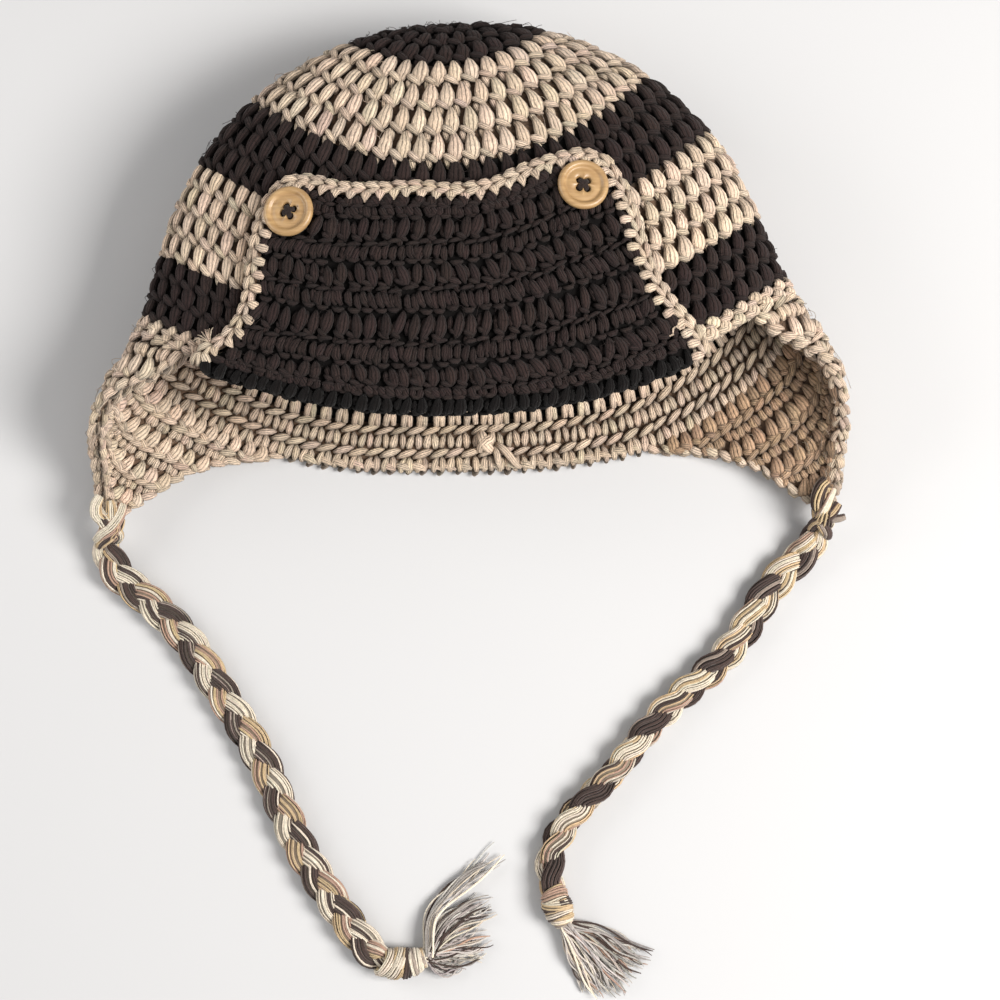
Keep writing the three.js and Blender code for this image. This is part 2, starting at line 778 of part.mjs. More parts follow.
// A line that goes straight on from the end of another, after a gap, and then through the given rows
function runOn(line, rows, start) {
  const end = line[line.length - 1];
  const heading = end.clone().sub(line[line.length - 2]).normalize();
  return [
    end.clone().addScaledVector(heading, gap),
    end.clone().addScaledVector(heading, gap + start),
    ...rows.map(pointOf),
  ];
}

function knotLine(side) {
  return runOn(braidLine(side).points, knotLines[side], 1.5);
}

function knotBody(side) {
  const radii = [knotStart, knotStart, ...knotLines[side].map((row) => row.radius)];
  return tubeBody(knotLine(side), radii, 8);
}

// Tassel: a short head and its locks, fused, so that they spread over the surface
function tasselBody(side) {
  const head = runOn(knotLine(side), [], 2);
  const heading = head[1].clone().sub(head[0]).normalize();
  const neck = head[1].clone().addScaledVector(heading, 3);
  let body = solid(tubeBody([...head, neck], [3.4, 3.7, 2.6], 8));
  for (const { bendX, bendY, tipX, tipY } of tasselLocks[side]) {
    const curve = new THREE.CatmullRomCurve3([
      head[1],
      new THREE.Vector3(bendX, bendY, 0),
      new THREE.Vector3(tipX, tipY, 0),
    ]);
    const line = curve.getPoints(lockRadii.length - 1);
    line.forEach((point, i) => point.setZ(lockHeights[i]));
    body = body.add(solid(tubeBody(line, lockRadii, 5)));
  }
  return geometryOf(body);
}

for (const side of ['left', 'right']) {
  addPiece(`tie_loop_${side}`, tieLoop(side), 'mixed');
  addPiece(`braid_${side}`, braidBody(side), 'mixed');
  addPiece(`tie_knot_${side}`, knotBody(side), 'mixed');
  addPiece(`tassel_${side}`, tasselBody(side), 'mixed');
}

export default hat;
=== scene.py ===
import bpy
import numpy as np
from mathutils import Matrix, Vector


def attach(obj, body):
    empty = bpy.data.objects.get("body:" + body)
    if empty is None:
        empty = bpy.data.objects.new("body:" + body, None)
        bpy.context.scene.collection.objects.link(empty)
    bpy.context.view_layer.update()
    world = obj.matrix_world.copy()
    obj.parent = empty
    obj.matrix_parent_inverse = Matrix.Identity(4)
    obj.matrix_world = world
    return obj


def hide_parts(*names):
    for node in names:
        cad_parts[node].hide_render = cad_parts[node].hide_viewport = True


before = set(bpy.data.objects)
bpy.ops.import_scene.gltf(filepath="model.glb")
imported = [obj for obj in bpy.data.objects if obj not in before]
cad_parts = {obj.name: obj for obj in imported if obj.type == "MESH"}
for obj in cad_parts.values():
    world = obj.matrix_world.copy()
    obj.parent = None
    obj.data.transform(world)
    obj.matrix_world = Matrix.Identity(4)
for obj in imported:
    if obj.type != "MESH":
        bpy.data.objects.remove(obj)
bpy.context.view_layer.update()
print("frame loaded:", len(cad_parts), "nodes")

rng = np.random.default_rng(11)
mm = 0.001

# Camera, lamps and sky
cameraView = {
    "place": (0.012, -0.1494, 0.7971),
    "tilt": 5.0,  # degrees from straight down
    "lens": 75.96,
}
cameraData = bpy.data.cameras.new("camera")
cameraData.lens = cameraView["lens"]
cameraData.sensor_width = 36
cameraData.clip_start, cameraData.clip_end = 0.01, 20
camera = bpy.data.objects.new("camera", cameraData)
camera.location = cameraView["place"]
camera.rotation_euler = (np.radians(cameraView["tilt"]), 0, 0)
bpy.context.scene.collection.objects.link(camera)
bpy.context.scene.camera = camera
bpy.context.scene.view_settings.view_transform = "Standard"


# A square lamp of a row: it stands at its place and its heading is the target less the place
def addLamp(row, target):
    data = bpy.data.lights.new(row["name"], "AREA")
    data.shape, data.size, data.energy, data.color = "SQUARE", row["size"], row["power"], row["tint"]
    lamp = bpy.data.objects.new(row["name"], data)
    lamp.location = row["place"]
    lamp.rotation_euler = (Vector(target) - Vector(row["place"])).to_track_quat("-Z", "Y").to_euler()
    bpy.context.scene.collection.objects.link(lamp)


lampTarget = (0, -0.06, 0.03)
lamps = [  # metres and watts
    {"name": "key", "place": (0.9, -0.26, 0.98), "size": 0.6, "power": 25, "tint": (1, 0.965, 0.925)},
    {"name": "fill", "place": (0.35, -0.95, 0.9), "size": 1.1, "power": 2.5, "tint": (1, 0.98, 0.96)},
    {"name": "side", "place": (-1.0, 0.14, 0.5), "size": 0.8, "power": 7, "tint": (1, 0.98, 0.96)},
    {"name": "top", "place": (0, -0.05, 1.7), "size": 1.5, "power": 2.5, "tint": (1, 1, 1)},
]
for row in lamps:
    addLamp(row, lampTarget)

sky = {"tint": (1, 0.97, 0.945, 1), "strength": 0.23}
world = bpy.data.worlds.new("studio")
world.use_nodes = True
world.node_tree.nodes["Background"].inputs["Color"].default_value = sky["tint"]
world.node_tree.nodes["Background"].inputs["Strength"].default_value = sky["strength"]
bpy.context.scene.world = world
print("camera and light done")

# Sizes and tables of the hat's shape, the same as the part's, in millimetres and degrees
hat = {
    "wall": 4.5,
    "gap": 0.3,
    "crownRadius": 115.5,
    "crownCentre": (-0.4, -21.1),
    "poleHeight": 27,
    "upperBend": 34,
    "lowerBend": 19,
    "backReach": 0.91,
    "foreheadTuck": 12,
    "footSink": 3,
    "frontEdge": 175.5,
    "backEdge": 189,
    "flapReach": 247,
    "squareness": (0.9, 0.66),  # of a round's outline above and below its widest line
}
sideRun = [(0, 0), (60, 29.8), (118, 59.6), (148, 73), (170, 65), (190, 58), (208, 69), (226, 88), (252, 90)]
wideLine = [(0, 27), (40, 31), (90, 34), (165, 36), (205, 38), (226, 28), (248, 14)]
foreheadSink = [(0, 0), (100, 0), (175, -6), (250, -8)]
crownTurn = {"crown": 3.6, "flaps": 0.7, "from": -70, "over": 80}
flapFront = [(0, 38), (0.18, 31), (0.34, 20), (0.5, 9), (0.7, 2), (1, -6)]
flapBack = [(0, -66), (0.25, -53), (0.5, -44), (0.75, -36), (1, -24)]


# Smooth line through a table: a cubic between two rows, whose slope at a row is that of its neighbours
def cubicThrough(table, at):
    xs, ys = np.array(table, float).T
    before, after = np.maximum(np.arange(len(xs)) - 1, 0), np.minimum(np.arange(len(xs)) + 1, len(xs) - 1)
    slopes = (ys[after] - ys[before]) / (xs[after] - xs[before])
    x = np.clip(at, xs[0], xs[-1])
    k = np.clip(np.searchsorted(xs, x, side="right") - 1, 0, len(xs) - 2)
    width = xs[k + 1] - xs[k]
    t = (x - xs[k]) / width
    return (
        (2 * t**3 - 3 * t**2 + 1) * ys[k]
        + (t**3 - 2 * t**2 + t) * width * slopes[k]
        + (3 * t**2 - 2 * t**3) * ys[k + 1]
        + (t**3 - t**2) * width * slopes[k + 1]
    )


# Smooth step: 3 t squared minus 2 t cubed, with t held between 0 and 1
def easeIn(value):
    t = np.clip(value, 0, 1)
    return t * t * (3 - 2 * t)


# Length run along a line at each of its points: the running sum of the steps' lengths
def lengthRun(points):
    return np.concatenate([[0], np.cumsum(np.linalg.norm(np.diff(points, axis=0), axis=1))])


# Values of three columns at places along a run, by straight lines between its points
def columnsAt(where, run, columns):
    return np.stack([np.interp(where, run, columns[:, k]) for k in range(3)], -1)


# A line through points by cubics over their chord length, as points at even steps along it
def smoothPath(points, step):
    points = np.array(points, float)
    chord = lengthRun(points)
    dense = np.linspace(0, chord[-1], 1500)
    path = np.stack([cubicThrough(np.stack([chord, points[:, k]], 1), dense) for k in range(3)], 1)
    run = lengthRun(path)
    even = np.linspace(0, run[-1], max(2, int(round(run[-1] / step)) + 1))
    return columnsAt(even, run, path), even


reachGrid = np.arange(521) * 0.5


# Running integral of a rate over the distance from the pole, as a function of that distance
def runningSum(rate):
    values = rate(reachGrid)
    sums = np.concatenate([[0], np.cumsum((values[1:] + values[:-1]) * 0.25)])
    return lambda s: np.interp(s, reachGrid, sums)


# Angle by which the crown has turned over: a quarter turn times (1 - e^(-distance / slowness))
def bendAngle(s, slowness):
    return np.pi / 2 * (1 - np.exp(-s / slowness))


sideOut = runningSum(lambda s: np.cos(np.radians(cubicThrough(sideRun, s))))
sideDown = runningSum(lambda s: np.sin(np.radians(cubicThrough(sideRun, s))))
upperDown = runningSum(lambda s: np.sin(bendAngle(s, hat["upperBend"])))
upperRise = runningSum(lambda s: np.cos(bendAngle(s, hat["upperBend"])))
lowerDown = runningSum(lambda s: np.sin(bendAngle(s, hat["lowerBend"])))
lowerDrop = runningSum(lambda s: np.cos(bendAngle(s, hat["lowerBend"])))
wholeDrop = lowerDrop(hat["flapReach"] + 12)


# Outside of the fabric at an angle round the hat and a distance from the pole. Across the hat it is
# the side's run times a rounded cosine, up and down it blends from the widest line to the top or the
# bottom by a rounded sine, and lengthwise from the side's run to the upper or lower one.
def surface(angle, reach):
    sine, cosine = np.sin(np.radians(angle)), np.cos(np.radians(angle))
    upper = sine >= 0
    rounded = np.where(upper, *hat["squareness"])
    x = sideOut(reach) * np.sign(cosine) * np.abs(cosine) ** rounded
    middle = cubicThrough(wideLine, reach)
    top = hat["poleHeight"] + upperRise(reach) + cubicThrough(foreheadSink, reach)
    bottom = hat["poleHeight"] * (1 - lowerDrop(reach) / wholeDrop)
    raw = middle + (np.where(upper, top, bottom) - middle) * np.abs(sine) ** rounded
    sink = hat["footSink"] * np.clip(1 - raw / (4 * hat["footSink"]), 0, 1)
    z = np.maximum(0, raw - sink)
    sideY = hat["crownRadius"] - sideDown(reach)
    upperY = hat["crownRadius"] - upperDown(reach) + hat["foreheadTuck"] * easeIn((reach - 80) / 95)
    lowerY = hat["crownRadius"] - lowerDown(reach) * hat["backReach"]
    y = sideY + (np.where(upper, upperY, lowerY) - sideY) * np.abs(sine) ** 2.1
    share = easeIn((y - crownTurn["from"]) / crownTurn["over"])
    turn = np.radians(crownTurn["flaps"] + (crownTurn["crown"] - crownTurn["flaps"]) * share)
    return np.stack([
        x * np.cos(turn) - y * np.sin(turn) + hat["crownCentre"][0],
        x * np.sin(turn) + y * np.cos(turn) + hat["crownCentre"][1],
        z,
    ], axis=-1)


skyward = np.array([0, 0, 1.0])


# Vectors divided by their length
def unit(vectors):
    return vectors / np.maximum(np.linalg.norm(vectors, axis=-1, keepdims=True), 1e-9)


# Way out of the fabric: the cross product of the step round the hat and the step towards its edge
def outward(angle, reach):
    s = np.clip(reach, 1.5, hat["flapReach"])
    around = surface(angle + 0.3, s) - surface(angle - 0.3, s)
    down = surface(angle, s + 0.5) - surface(angle, s - 0.5)
    return unit(np.cross(around, down))


# A point at a height above the outside of the fabric
def fabric(angle, reach, height):
    angle, reach, height = np.broadcast_arrays(angle, reach, height)
    reach = np.maximum(reach, 0.4)
    return surface(angle, reach) + outward(angle, reach) * height[..., None]


# Reach of the lower edge: short over the forehead, longer at the nape
def edgeReach(angle):
    share = easeIn(((1 - np.sin(np.radians(angle))) / 2 - 0.3) / 0.5)
    return hat["frontEdge"] + (hat["backEdge"] - hat["frontEdge"]) * share


# An empty store for the parts of one piece: vertices, faces of four and of three corners with their
# place round and along the yarn, and each vertex's dye
def newStore():
    return {"points": [], "quads": [], "quadMap": [], "tris": [], "triMap": [], "dye": [], "count": 0}


# Adds n copies of one pattern of faces over n groups of points
def addFaces(store, points, quads, quadMap, tris, triMap, dye):
    n, each = points.shape[0], points.shape[1]
    starts = store["count"] + np.arange(n)[:, None, None] * each
    store["points"].append(points.reshape(-1, 3))
    store["dye"].append(np.broadcast_to(dye, (n, each, 3)).reshape(-1, 3))
    if len(quads):
        store["quads"].append((starts + quads[None]).reshape(-1, 4))
        store["quadMap"].append(np.broadcast_to(quadMap, (n, *quadMap.shape)).reshape(-1, 4, 2))
    if len(tris):
        store["tris"].append((starts + tris[None]).reshape(-1, 3))
        store["triMap"].append(np.broadcast_to(triMap, (n, *triMap.shape)).reshape(-1, 3, 2))
    store["count"] += n * each


# Faces of a tube of k rings after a first point and before a last one: fours between the rings, with
# their ring and side numbers, and fans of threes at both ends
def tubeFaces(k, sides):
    i, j = np.meshgrid(np.arange(k - 1), np.arange(sides), indexing="ij")
    i, j = i.ravel(), j.ravel()
    after = (j + 1) % sides
    quads = 1 + np.stack([i * sides + j, i * sides + after, (i + 1) * sides + after, (i + 1) * sides + j], 1)
    fan, fanNext, end = np.arange(sides), (np.arange(sides) + 1) % sides, k * sides + 1
    tris = np.concatenate([
        np.stack([0 * fan, 1 + fanNext, 1 + fan], 1),
        np.stack([0 * fan + end, end - sides + fan, end - sides + fanNext], 1),
    ])
    return quads, tris, i, j


# Shares of a strand's full radius along it: the root of a sine that begins and ends a margin inside
def roundEnds(count, margin):
    return np.sin(np.pi * np.linspace(margin, 1 - margin, count)) ** 0.5


# One plus a seeded normal spread, for each of a number of strands
def uneven(count, spread):
    return 1 + rng.normal(0, spread, (count, 1))


# Closed tubes: round each point of a spine stands a ring, its width along the side and its thickness
# along the normal, and each end has a point. The side is the normal crossed with the spine's heading.
# The dye darkens as painted shade by the given share on the flanks, by the sine of the turn, and a little at the
# ends, where a lobe meets and dives under its neighbours.
def addTubes(store, spines, normals, wide, thick, sides, dye, runLength=1.0, pointed=0.6, rim=0.0):
    n, k = spines.shape[:2]
    wide, thick = np.broadcast_to(wide, (n, k)), np.broadcast_to(thick, (n, k))
    heading = unit(np.gradient(spines, axis=1))
    side = unit(np.cross(normals, heading))
    up = np.cross(heading, side)
    turn = 2 * np.pi * np.arange(sides) / sides
    rings = (
        spines[:, :, None]
        + side[:, :, None] * (wide[..., None] * np.cos(turn))[..., None]
        + up[:, :, None] * (thick[..., None] * np.sin(turn))[..., None]
    )
    first = spines[:, :1] - heading[:, :1] * thick[:, :1, None] * pointed
    last = spines[:, -1:] + heading[:, -1:] * thick[:, -1:, None] * pointed
    points = np.concatenate([first, rings.reshape(n, -1, 3), last], axis=1)
    quads, tris, i, j = tubeFaces(k, sides)
    along = runLength / (k - 1)
    quadMap = np.stack([
        np.stack([j / sides, i * along], 1), np.stack([(j + 1) / sides, i * along], 1),
        np.stack([(j + 1) / sides, (i + 1) * along], 1), np.stack([j / sides, (i + 1) * along], 1),
    ], 1)
    j = np.arange(sides)
    low, high = -0.1 * along, runLength + 0.1 * along
    triMap = np.concatenate([
        np.stack([np.stack([(j + 0.5) / sides, 0 * j + low], 1), np.stack([(j + 1) / sides, 0 * j], 1),
                  np.stack([j / sides, 0 * j], 1)], 1),
        np.stack([np.stack([(j + 0.5) / sides, 0 * j + high], 1),
                  np.stack([j / sides, 0 * j + runLength], 1),
                  np.stack([(j + 1) / sides, 0 * j + runLength], 1)], 1),
    ])
    # Painted shade on the flanks and at the ends of each tube
    flank = 1 - rim * (1 - np.clip(0.45 + 0.85 * np.sin(turn), 0, 1))
    ending = 1 - 0.55 * rim * (1 - np.sin(np.pi * (np.arange(k) + 0.5) / k) ** 0.6)
    shade = np.concatenate([[1 - 0.8 * rim], (ending[:, None] * flank).ravel(), [1 - 0.8 * rim]])
    addFaces(store, points, quads, quadMap, tris, triMap, np.asarray(dye, float)[:, None] * shade[:, None])


# A closed sheet between two grids of points, joined round its border. Its faces are turned over if the
# sum of their cross products points from the outer grid to the inner one.
def addSheet(store, outer, inner, dye, wrapped=False):
    rows, columns = outer.shape[:2]
    points = np.concatenate([outer.reshape(-1, 3), inner.reshape(-1, 3)])[None]
    i, j = np.meshgrid(np.arange(rows - 1), np.arange(columns - (not wrapped)), indexing="ij")
    i, j = i.ravel(), j.ravel()
    j2 = (j + 1) % columns
    face = np.stack([i * columns + j, i * columns + j2, (i + 1) * columns + j2, (i + 1) * columns + j], 1)
    under = face[:, ::-1] + rows * columns
    j = np.arange(columns - (not wrapped))
    j2 = (j + 1) % columns
    low = rows * columns
    edge0 = np.stack([j2, j, low + j, low + j2], 1)
    last = (rows - 1) * columns
    edge1 = np.stack([last + j, last + j2, low + last + j2, low + last + j], 1)
    parts = [face, under, edge0, edge1]
    if not wrapped:
        i = np.arange(rows - 1)
        a, b = i * columns, (i + 1) * columns
        parts.append(np.stack([a, b, low + b, low + a], 1))
        a, b = a + columns - 1, b + columns - 1
        parts.append(np.stack([b, a, low + a, low + b], 1))
    quads = np.concatenate(parts)
    flat = points[0][face]
    out = (outer - inner).reshape(-1, 3)[face[:, 0]]
    if (np.cross(flat[:, 1] - flat[:, 0], flat[:, 2] - flat[:, 0]) * out).sum() < 0:
        quads = quads[:, ::-1]
    noTris, noTriMap = np.zeros((0, 3), int), np.zeros((0, 3, 2))
    addFaces(store, points, quads, np.zeros((len(quads), 4, 2)), noTris, noTriMap, dye)


# The finished object of a store: metres, smooth faces, its yarn map and dye, riding on the body
def makePiece(name, store, material, replaced):
    points = np.concatenate(store["points"]) * mm
    points[:, 2] = np.maximum(points[:, 2], 0)
    quads = np.concatenate(store["quads"]) if store["quads"] else np.zeros((0, 4), int)
    tris = np.concatenate(store["tris"]) if store["tris"] else np.zeros((0, 3), int)
    mesh = bpy.data.meshes.new(name)
    mesh.vertices.add(len(points))
    mesh.vertices.foreach_set("co", points.astype(np.float32).ravel())
    mesh.loops.add(quads.size + tris.size)
    mesh.loops.foreach_set("vertex_index", np.concatenate([quads.ravel(), tris.ravel()]).astype(np.int32))
    mesh.polygons.add(len(quads) + len(tris))
    starts = np.concatenate([np.arange(len(quads)) * 4, quads.size + np.arange(len(tris)) * 3])
    mesh.polygons.foreach_set("loop_start", starts.astype(np.int32))
    mesh.update(calc_edges=True)
    mesh.polygons.foreach_set("use_smooth", np.ones(len(starts), bool))
    maps = [np.concatenate(part).reshape(-1, 2) for part in (store["quadMap"], store["triMap"]) if part]
    layer = mesh.uv_layers.new(name="yarn")
    layer.uv.foreach_set("vector", np.concatenate(maps).astype(np.float32).ravel())
    dye = mesh.attributes.new("dye", "FLOAT_COLOR", "POINT")
    colours = np.ones((len(points), 4), np.float32)
    colours[:, :3] = np.concatenate(store["dye"])
    dye.data.foreach_set("color", colours.ravel())
    mesh.validate()
    mesh.materials.append(material)
    piece = bpy.data.objects.new(name, mesh)
    bpy.context.scene.collection.objects.link(piece)
    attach(piece, "root")
    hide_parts(*replaced)
    print(name, len(quads) * 2 + len(tris), "triangles")
    return piece


# A node with its plain values set
def addNode(tree, kind, **values):
    node = tree.nodes.new(kind)
    for key, value in values.items():
        setattr(node, key, value)
    return node


# A math node over two values, either of which may be a socket
def mathNode(tree, operation, first, second=0.0):
    node = addNode(tree, "ShaderNodeMath", operation=operation)
    for socket, value in zip(node.inputs, (first, second)):
        if isinstance(value, (int, float)):
            socket.default_value = value
        else:
            tree.links.new(value, socket)
    return node.outputs[0]


# A noise over a vector socket, with its scale and detail
def noiseNode(tree, vector, scale, detail):
    node = addNode(tree, "ShaderNodeTexNoise")
    node.inputs["Scale"].default_value = scale
    node.inputs["Detail"].default_value = detail
    tree.links.new(vector, node.inputs["Vector"])
    return node.outputs["Fac"]


# A bump of the shader's normal, by a height socket times a depth in millimetres
def addBump(tree, height, strength, depth):
    bump = addNode(tree, "ShaderNodeBump")
    bump.inputs["Strength"].default_value = strength
    bump.inputs["Distance"].default_value = depth * mm
    tree.links.new(height, bump.inputs["Height"])
    tree.links.new(bump.outputs[0], tree.nodes["Principled BSDF"].inputs["Normal"])


# A new material with its node tree, its shader's plain values set
def newMaterial(name, values):
    material = bpy.data.materials.new(name)
    material.use_nodes = True
    for socket, value in values.items():
        material.node_tree.nodes["Principled BSDF"].inputs[socket].default_value = value
    return material, material.node_tree


yarnNoise = {"wander": 260, "fine": 1900, "broad": 700}  # scales over the hat in metres


# Yarn: the dye, darkened by painted shade in the grooves between its strands, which are a sine of the place round
# the yarn times their number, moved by a noise, and streaked, patched and specked by three more
def yarnMaterial(name, strands, depth, paintedGrooveShade, sheen):
    material, tree = newMaterial(name, {
        "Roughness": 0.9, "Sheen Weight": sheen, "Sheen Roughness": 0.6, "Specular IOR Level": 0.15,
    })
    dye = addNode(tree, "ShaderNodeAttribute", attribute_name="dye")
    uv = addNode(tree, "ShaderNodeUVMap", uv_map="yarn")
    split = addNode(tree, "ShaderNodeSeparateXYZ")
    tree.links.new(uv.outputs["UV"], split.inputs[0])
    place = addNode(tree, "ShaderNodeTexCoord").outputs["Object"]
    wander = noiseNode(tree, place, yarnNoise["wander"], 2)
    moved = mathNode(tree, "MULTIPLY", mathNode(tree, "SUBTRACT", wander, 0.5), 0.07)
    turned = mathNode(tree, "ADD", split.outputs["X"], moved)
    wave = mathNode(tree, "SINE", mathNode(tree, "MULTIPLY", turned, np.pi * strands))
    ply = mathNode(tree, "ABSOLUTE", wave)
    streakPlace = addNode(tree, "ShaderNodeCombineXYZ")
    tree.links.new(mathNode(tree, "MULTIPLY", turned, strands * 3), streakPlace.inputs[0])
    tree.links.new(mathNode(tree, "MULTIPLY", split.outputs["Y"], 2.2), streakPlace.inputs[1])
    tree.links.new(mathNode(tree, "MULTIPLY", wander, 9), streakPlace.inputs[2])
    streak = noiseNode(tree, streakPlace.outputs[0], 1, 2)
    lines = mathNode(tree, "MULTIPLY", mathNode(tree, "SUBTRACT", streak, 0.5), 1.65)
    hollow = mathNode(tree, "POWER", mathNode(tree, "SUBTRACT", 1.0, ply), 1.8)
    crevice = mathNode(tree, "MULTIPLY", hollow, 0.9)
    ridge = mathNode(tree, "ADD", mathNode(tree, "SUBTRACT", 1.0, crevice), lines)
    fine = noiseNode(tree, place, yarnNoise["fine"], 3)
    broad = noiseNode(tree, place, yarnNoise["broad"], 2)
    # Painted shade in the grooves, by the given share of the ridge
    tone = mathNode(tree, "ADD", mathNode(tree, "MULTIPLY", ridge, paintedGrooveShade), 1 - paintedGrooveShade)
    patch = mathNode(tree, "ADD", mathNode(tree, "MULTIPLY", broad, 0.5), 0.76)
    speck = mathNode(tree, "ADD", mathNode(tree, "MULTIPLY", fine, 0.5), 0.75)
    scaled = addNode(tree, "ShaderNodeVectorMath", operation="SCALE")
    tree.links.new(dye.outputs["Color"], scaled.inputs[0])
    total = mathNode(tree, "MULTIPLY", mathNode(tree, "MULTIPLY", tone, patch), speck)
    tree.links.new(total, scaled.inputs["Scale"])
    tree.links.new(scaled.outputs[0], tree.nodes["Principled BSDF"].inputs["Base Color"])
    addBump(tree, mathNode(tree, "ADD", ridge, mathNode(tree, "MULTIPLY", fine, 0.5)), 0.9, depth)
    return material


stitchYarn = yarnMaterial("tan stitch yarn", 10, 0.45, 0.66, 0.15)
darkYarn = yarnMaterial("dark stitch yarn", 10, 0.5, 0.75, 0.045)
tieYarn = yarnMaterial("tie yarn", 4, 0.1, 0.35, 0.15)

dyes = {
    "tan": (0.76, 0.60, 0.455),
    # painted shade: the tan yarn as in deep shadow, for sheets and cores
    "tanPaintedShade": (0.2, 0.125, 0.08),
    "dark": (0.031, 0.0190, 0.0172),
    # painted shade: the dark yarn as in deep shadow, for sheets, insides and the fold
    "darkPaintedShade": (0.004, 0.0026, 0.0024),
    "cream": (0.74, 0.66, 0.54),
    "gold": (0.60, 0.45, 0.27),
    "rose": (0.46, 0.30, 0.225),
    "brown": (0.07, 0.045, 0.038),
    "smoke": (0.34, 0.28, 0.235),
    "ash": (0.40, 0.365, 0.34),
    "mist": (0.60, 0.56, 0.52),
}


# A dye for each of n lobes: the plain one times a brightness that varies from lobe to lobe
def dyeFor(name, n, spread=0.09):
    brightness = 1 + rng.normal(0, spread, (n, 1))
    warmth = 1 + rng.normal(0, spread / 5, (n, 3))
    return np.clip(np.array(dyes[name]) * brightness * warmth, 0.002, 0.95)


# Lobes of one stitch on the outside: rows of (right, towards the edge, height) along each lobe, in
# millimetres for a stitch 6.1 wide and 9 tall, with its half width and half thickness. "round" is the
# half width that it has where the round turns away on the left.
outerStitch = [
    {
        "spine": [(1.2, -5.6, -2.3), (1.45, -4.0, -1.0), (1.5, -2.2, -0.3), (1.35, -0.4, 0.1),
                  (1.0, 1.5, 0.1), (0.6, 3.2, -0.2), (0.25, 4.6, -0.9)],
        "wide": [0.5, 1.2, 1.95, 2.6, 2.85, 2.2, 0.7],
        "round": [1.9, 2.35, 2.5, 2.3, 1.8, 1.2, 0.5],
        "thick": [1.1, 1.5, 1.65, 1.6, 1.4, 1.0, 0.45],
        "sides": 8,
    },
    {
        "spine": [(1.6, 4.9, -0.4), (0.2, 3.9, 0.6), (-1.5, 2.7, 0.5), (-3.0, 1.5, -0.5)],
        "wide": [0.5, 1.3, 1.35, 0.5],
        "thick": [0.5, 1.1, 1.1, 0.5],
        "sides": 6,
    },
    {
        "spine": [(-1.8, 2.4, -1.9), (-1.6, 3.9, -1.2), (-1.35, 5.3, -1.3), (-1.2, 6.6, -2.2)],
        "wide": [1.0, 1.4, 1.35, 0.8],
        "thick": [0.8, 1.1, 1.1, 0.7],
        "sides": 6,
    },
]
# The same on the inside: a slanted lobe of the ridge, and two short domes that spread under it
innerStitch = [
    {
        "spine": [(-3.3, -2.4, -0.7), (-1.7, -3.1, 0.4), (0.3, -3.9, 0.7), (2.2, -4.6, 0.3), (3.6, -5.0, -0.8)],
        "wide": [0.6, 1.25, 1.45, 1.2, 0.5],
        "thick": [0.6, 1.1, 1.2, 1.05, 0.6],
        "sides": 6,
    },
    {
        "spine": [(-0.6, -2.2, -1.3), (-1.2, -0.4, -0.3), (-1.6, 1.5, -0.3), (-1.7, 3.2, -1.5)],
        "wide": [0.7, 1.45, 1.6, 1.0],
        "thick": [0.7, 1.25, 1.3, 0.8],
        "sides": 6,
    },
    {
        "spine": [(0.9, -2.3, -1.4), (1.4, -0.5, -0.4), (1.6, 1.4, -0.4), (1.5, 3.1, -1.6)],
        "wide": [0.7, 1.4, 1.5, 0.9],
        "thick": [0.7, 1.2, 1.25, 0.8],
        "sides": 6,
    },
]
# A pointed dome of the nape: two lobes that meet at its top
domeStitch = [
    {"spine": [(0.0, -3.2, 2.2), (-0.45, -1.7, 3.0), (-0.85, 0.2, 2.8), (-1.15, 3.0, 0.8)],
     "wide": [0.55, 1.2, 1.5, 1.2], "thick": [0.6, 1.1, 1.3, 0.9], "sides": 7},
    {"spine": [(0.35, -3.2, 2.0), (0.8, -1.7, 2.8), (1.1, 0.2, 2.6), (1.35, 3.0, 0.7)],
     "wide": [0.55, 1.15, 1.4, 1.1], "thick": [0.6, 1.05, 1.2, 0.9], "sides": 7},
]
stitch = {
    "pitch": 6.1,  # width on the crown
    "flapPitch": 5.1,
    "tall": 9,
    "rim": 0.86,  # how much darker its flanks and ends are, as painted shade
    "flatten": 0.6,
    "lean": 0.33,
    "leanFrom": 20,  # degrees round the hat
    "pointedFrom": 45,
    "crown": {"jitter": 0.2, "swell": 1.0},
    "flap": {"jitter": 0.34, "swell": 1.24},
    "uneven": 0.08,
    "backing": (-1.9, -3.1),  # heights of the sheet of painted shade in the wall
}


# Places of the stitches of one round: equal lengths along the round, half a stitch on when shifted.
# A length counts only a share of its rise, so that stitches widen where the round stands upright.
def stitchRow(point, v, pitch, shift, closed):
    dense = np.linspace(0, 1, 1441)
    places = point(dense, np.full_like(dense, v), np.zeros_like(dense))
    lengths = lengthRun(places * (1, 1, stitch["flatten"]))
    count = max(4, int(round(lengths[-1] / pitch)))
    width = lengths[-1] / count
    at = (np.arange(count) + 0.5 + (shift if closed else 0)) * width
    u = np.clip(np.interp(at, lengths, dense), 0.004, 0.996)
    along = unit(point(u + 0.003, v, 0 * u) - point(u - 0.003, v, 0 * u))
    slant = ((point(u, v + 0.01, 0 * u) - point(u, v - 0.01, 0 * u)) * along).sum(-1) / 0.02 * (not closed)
    return {"at": at, "width": width, "lengths": lengths, "dense": dense, "v": v, "closed": closed,
            "slant": slant}


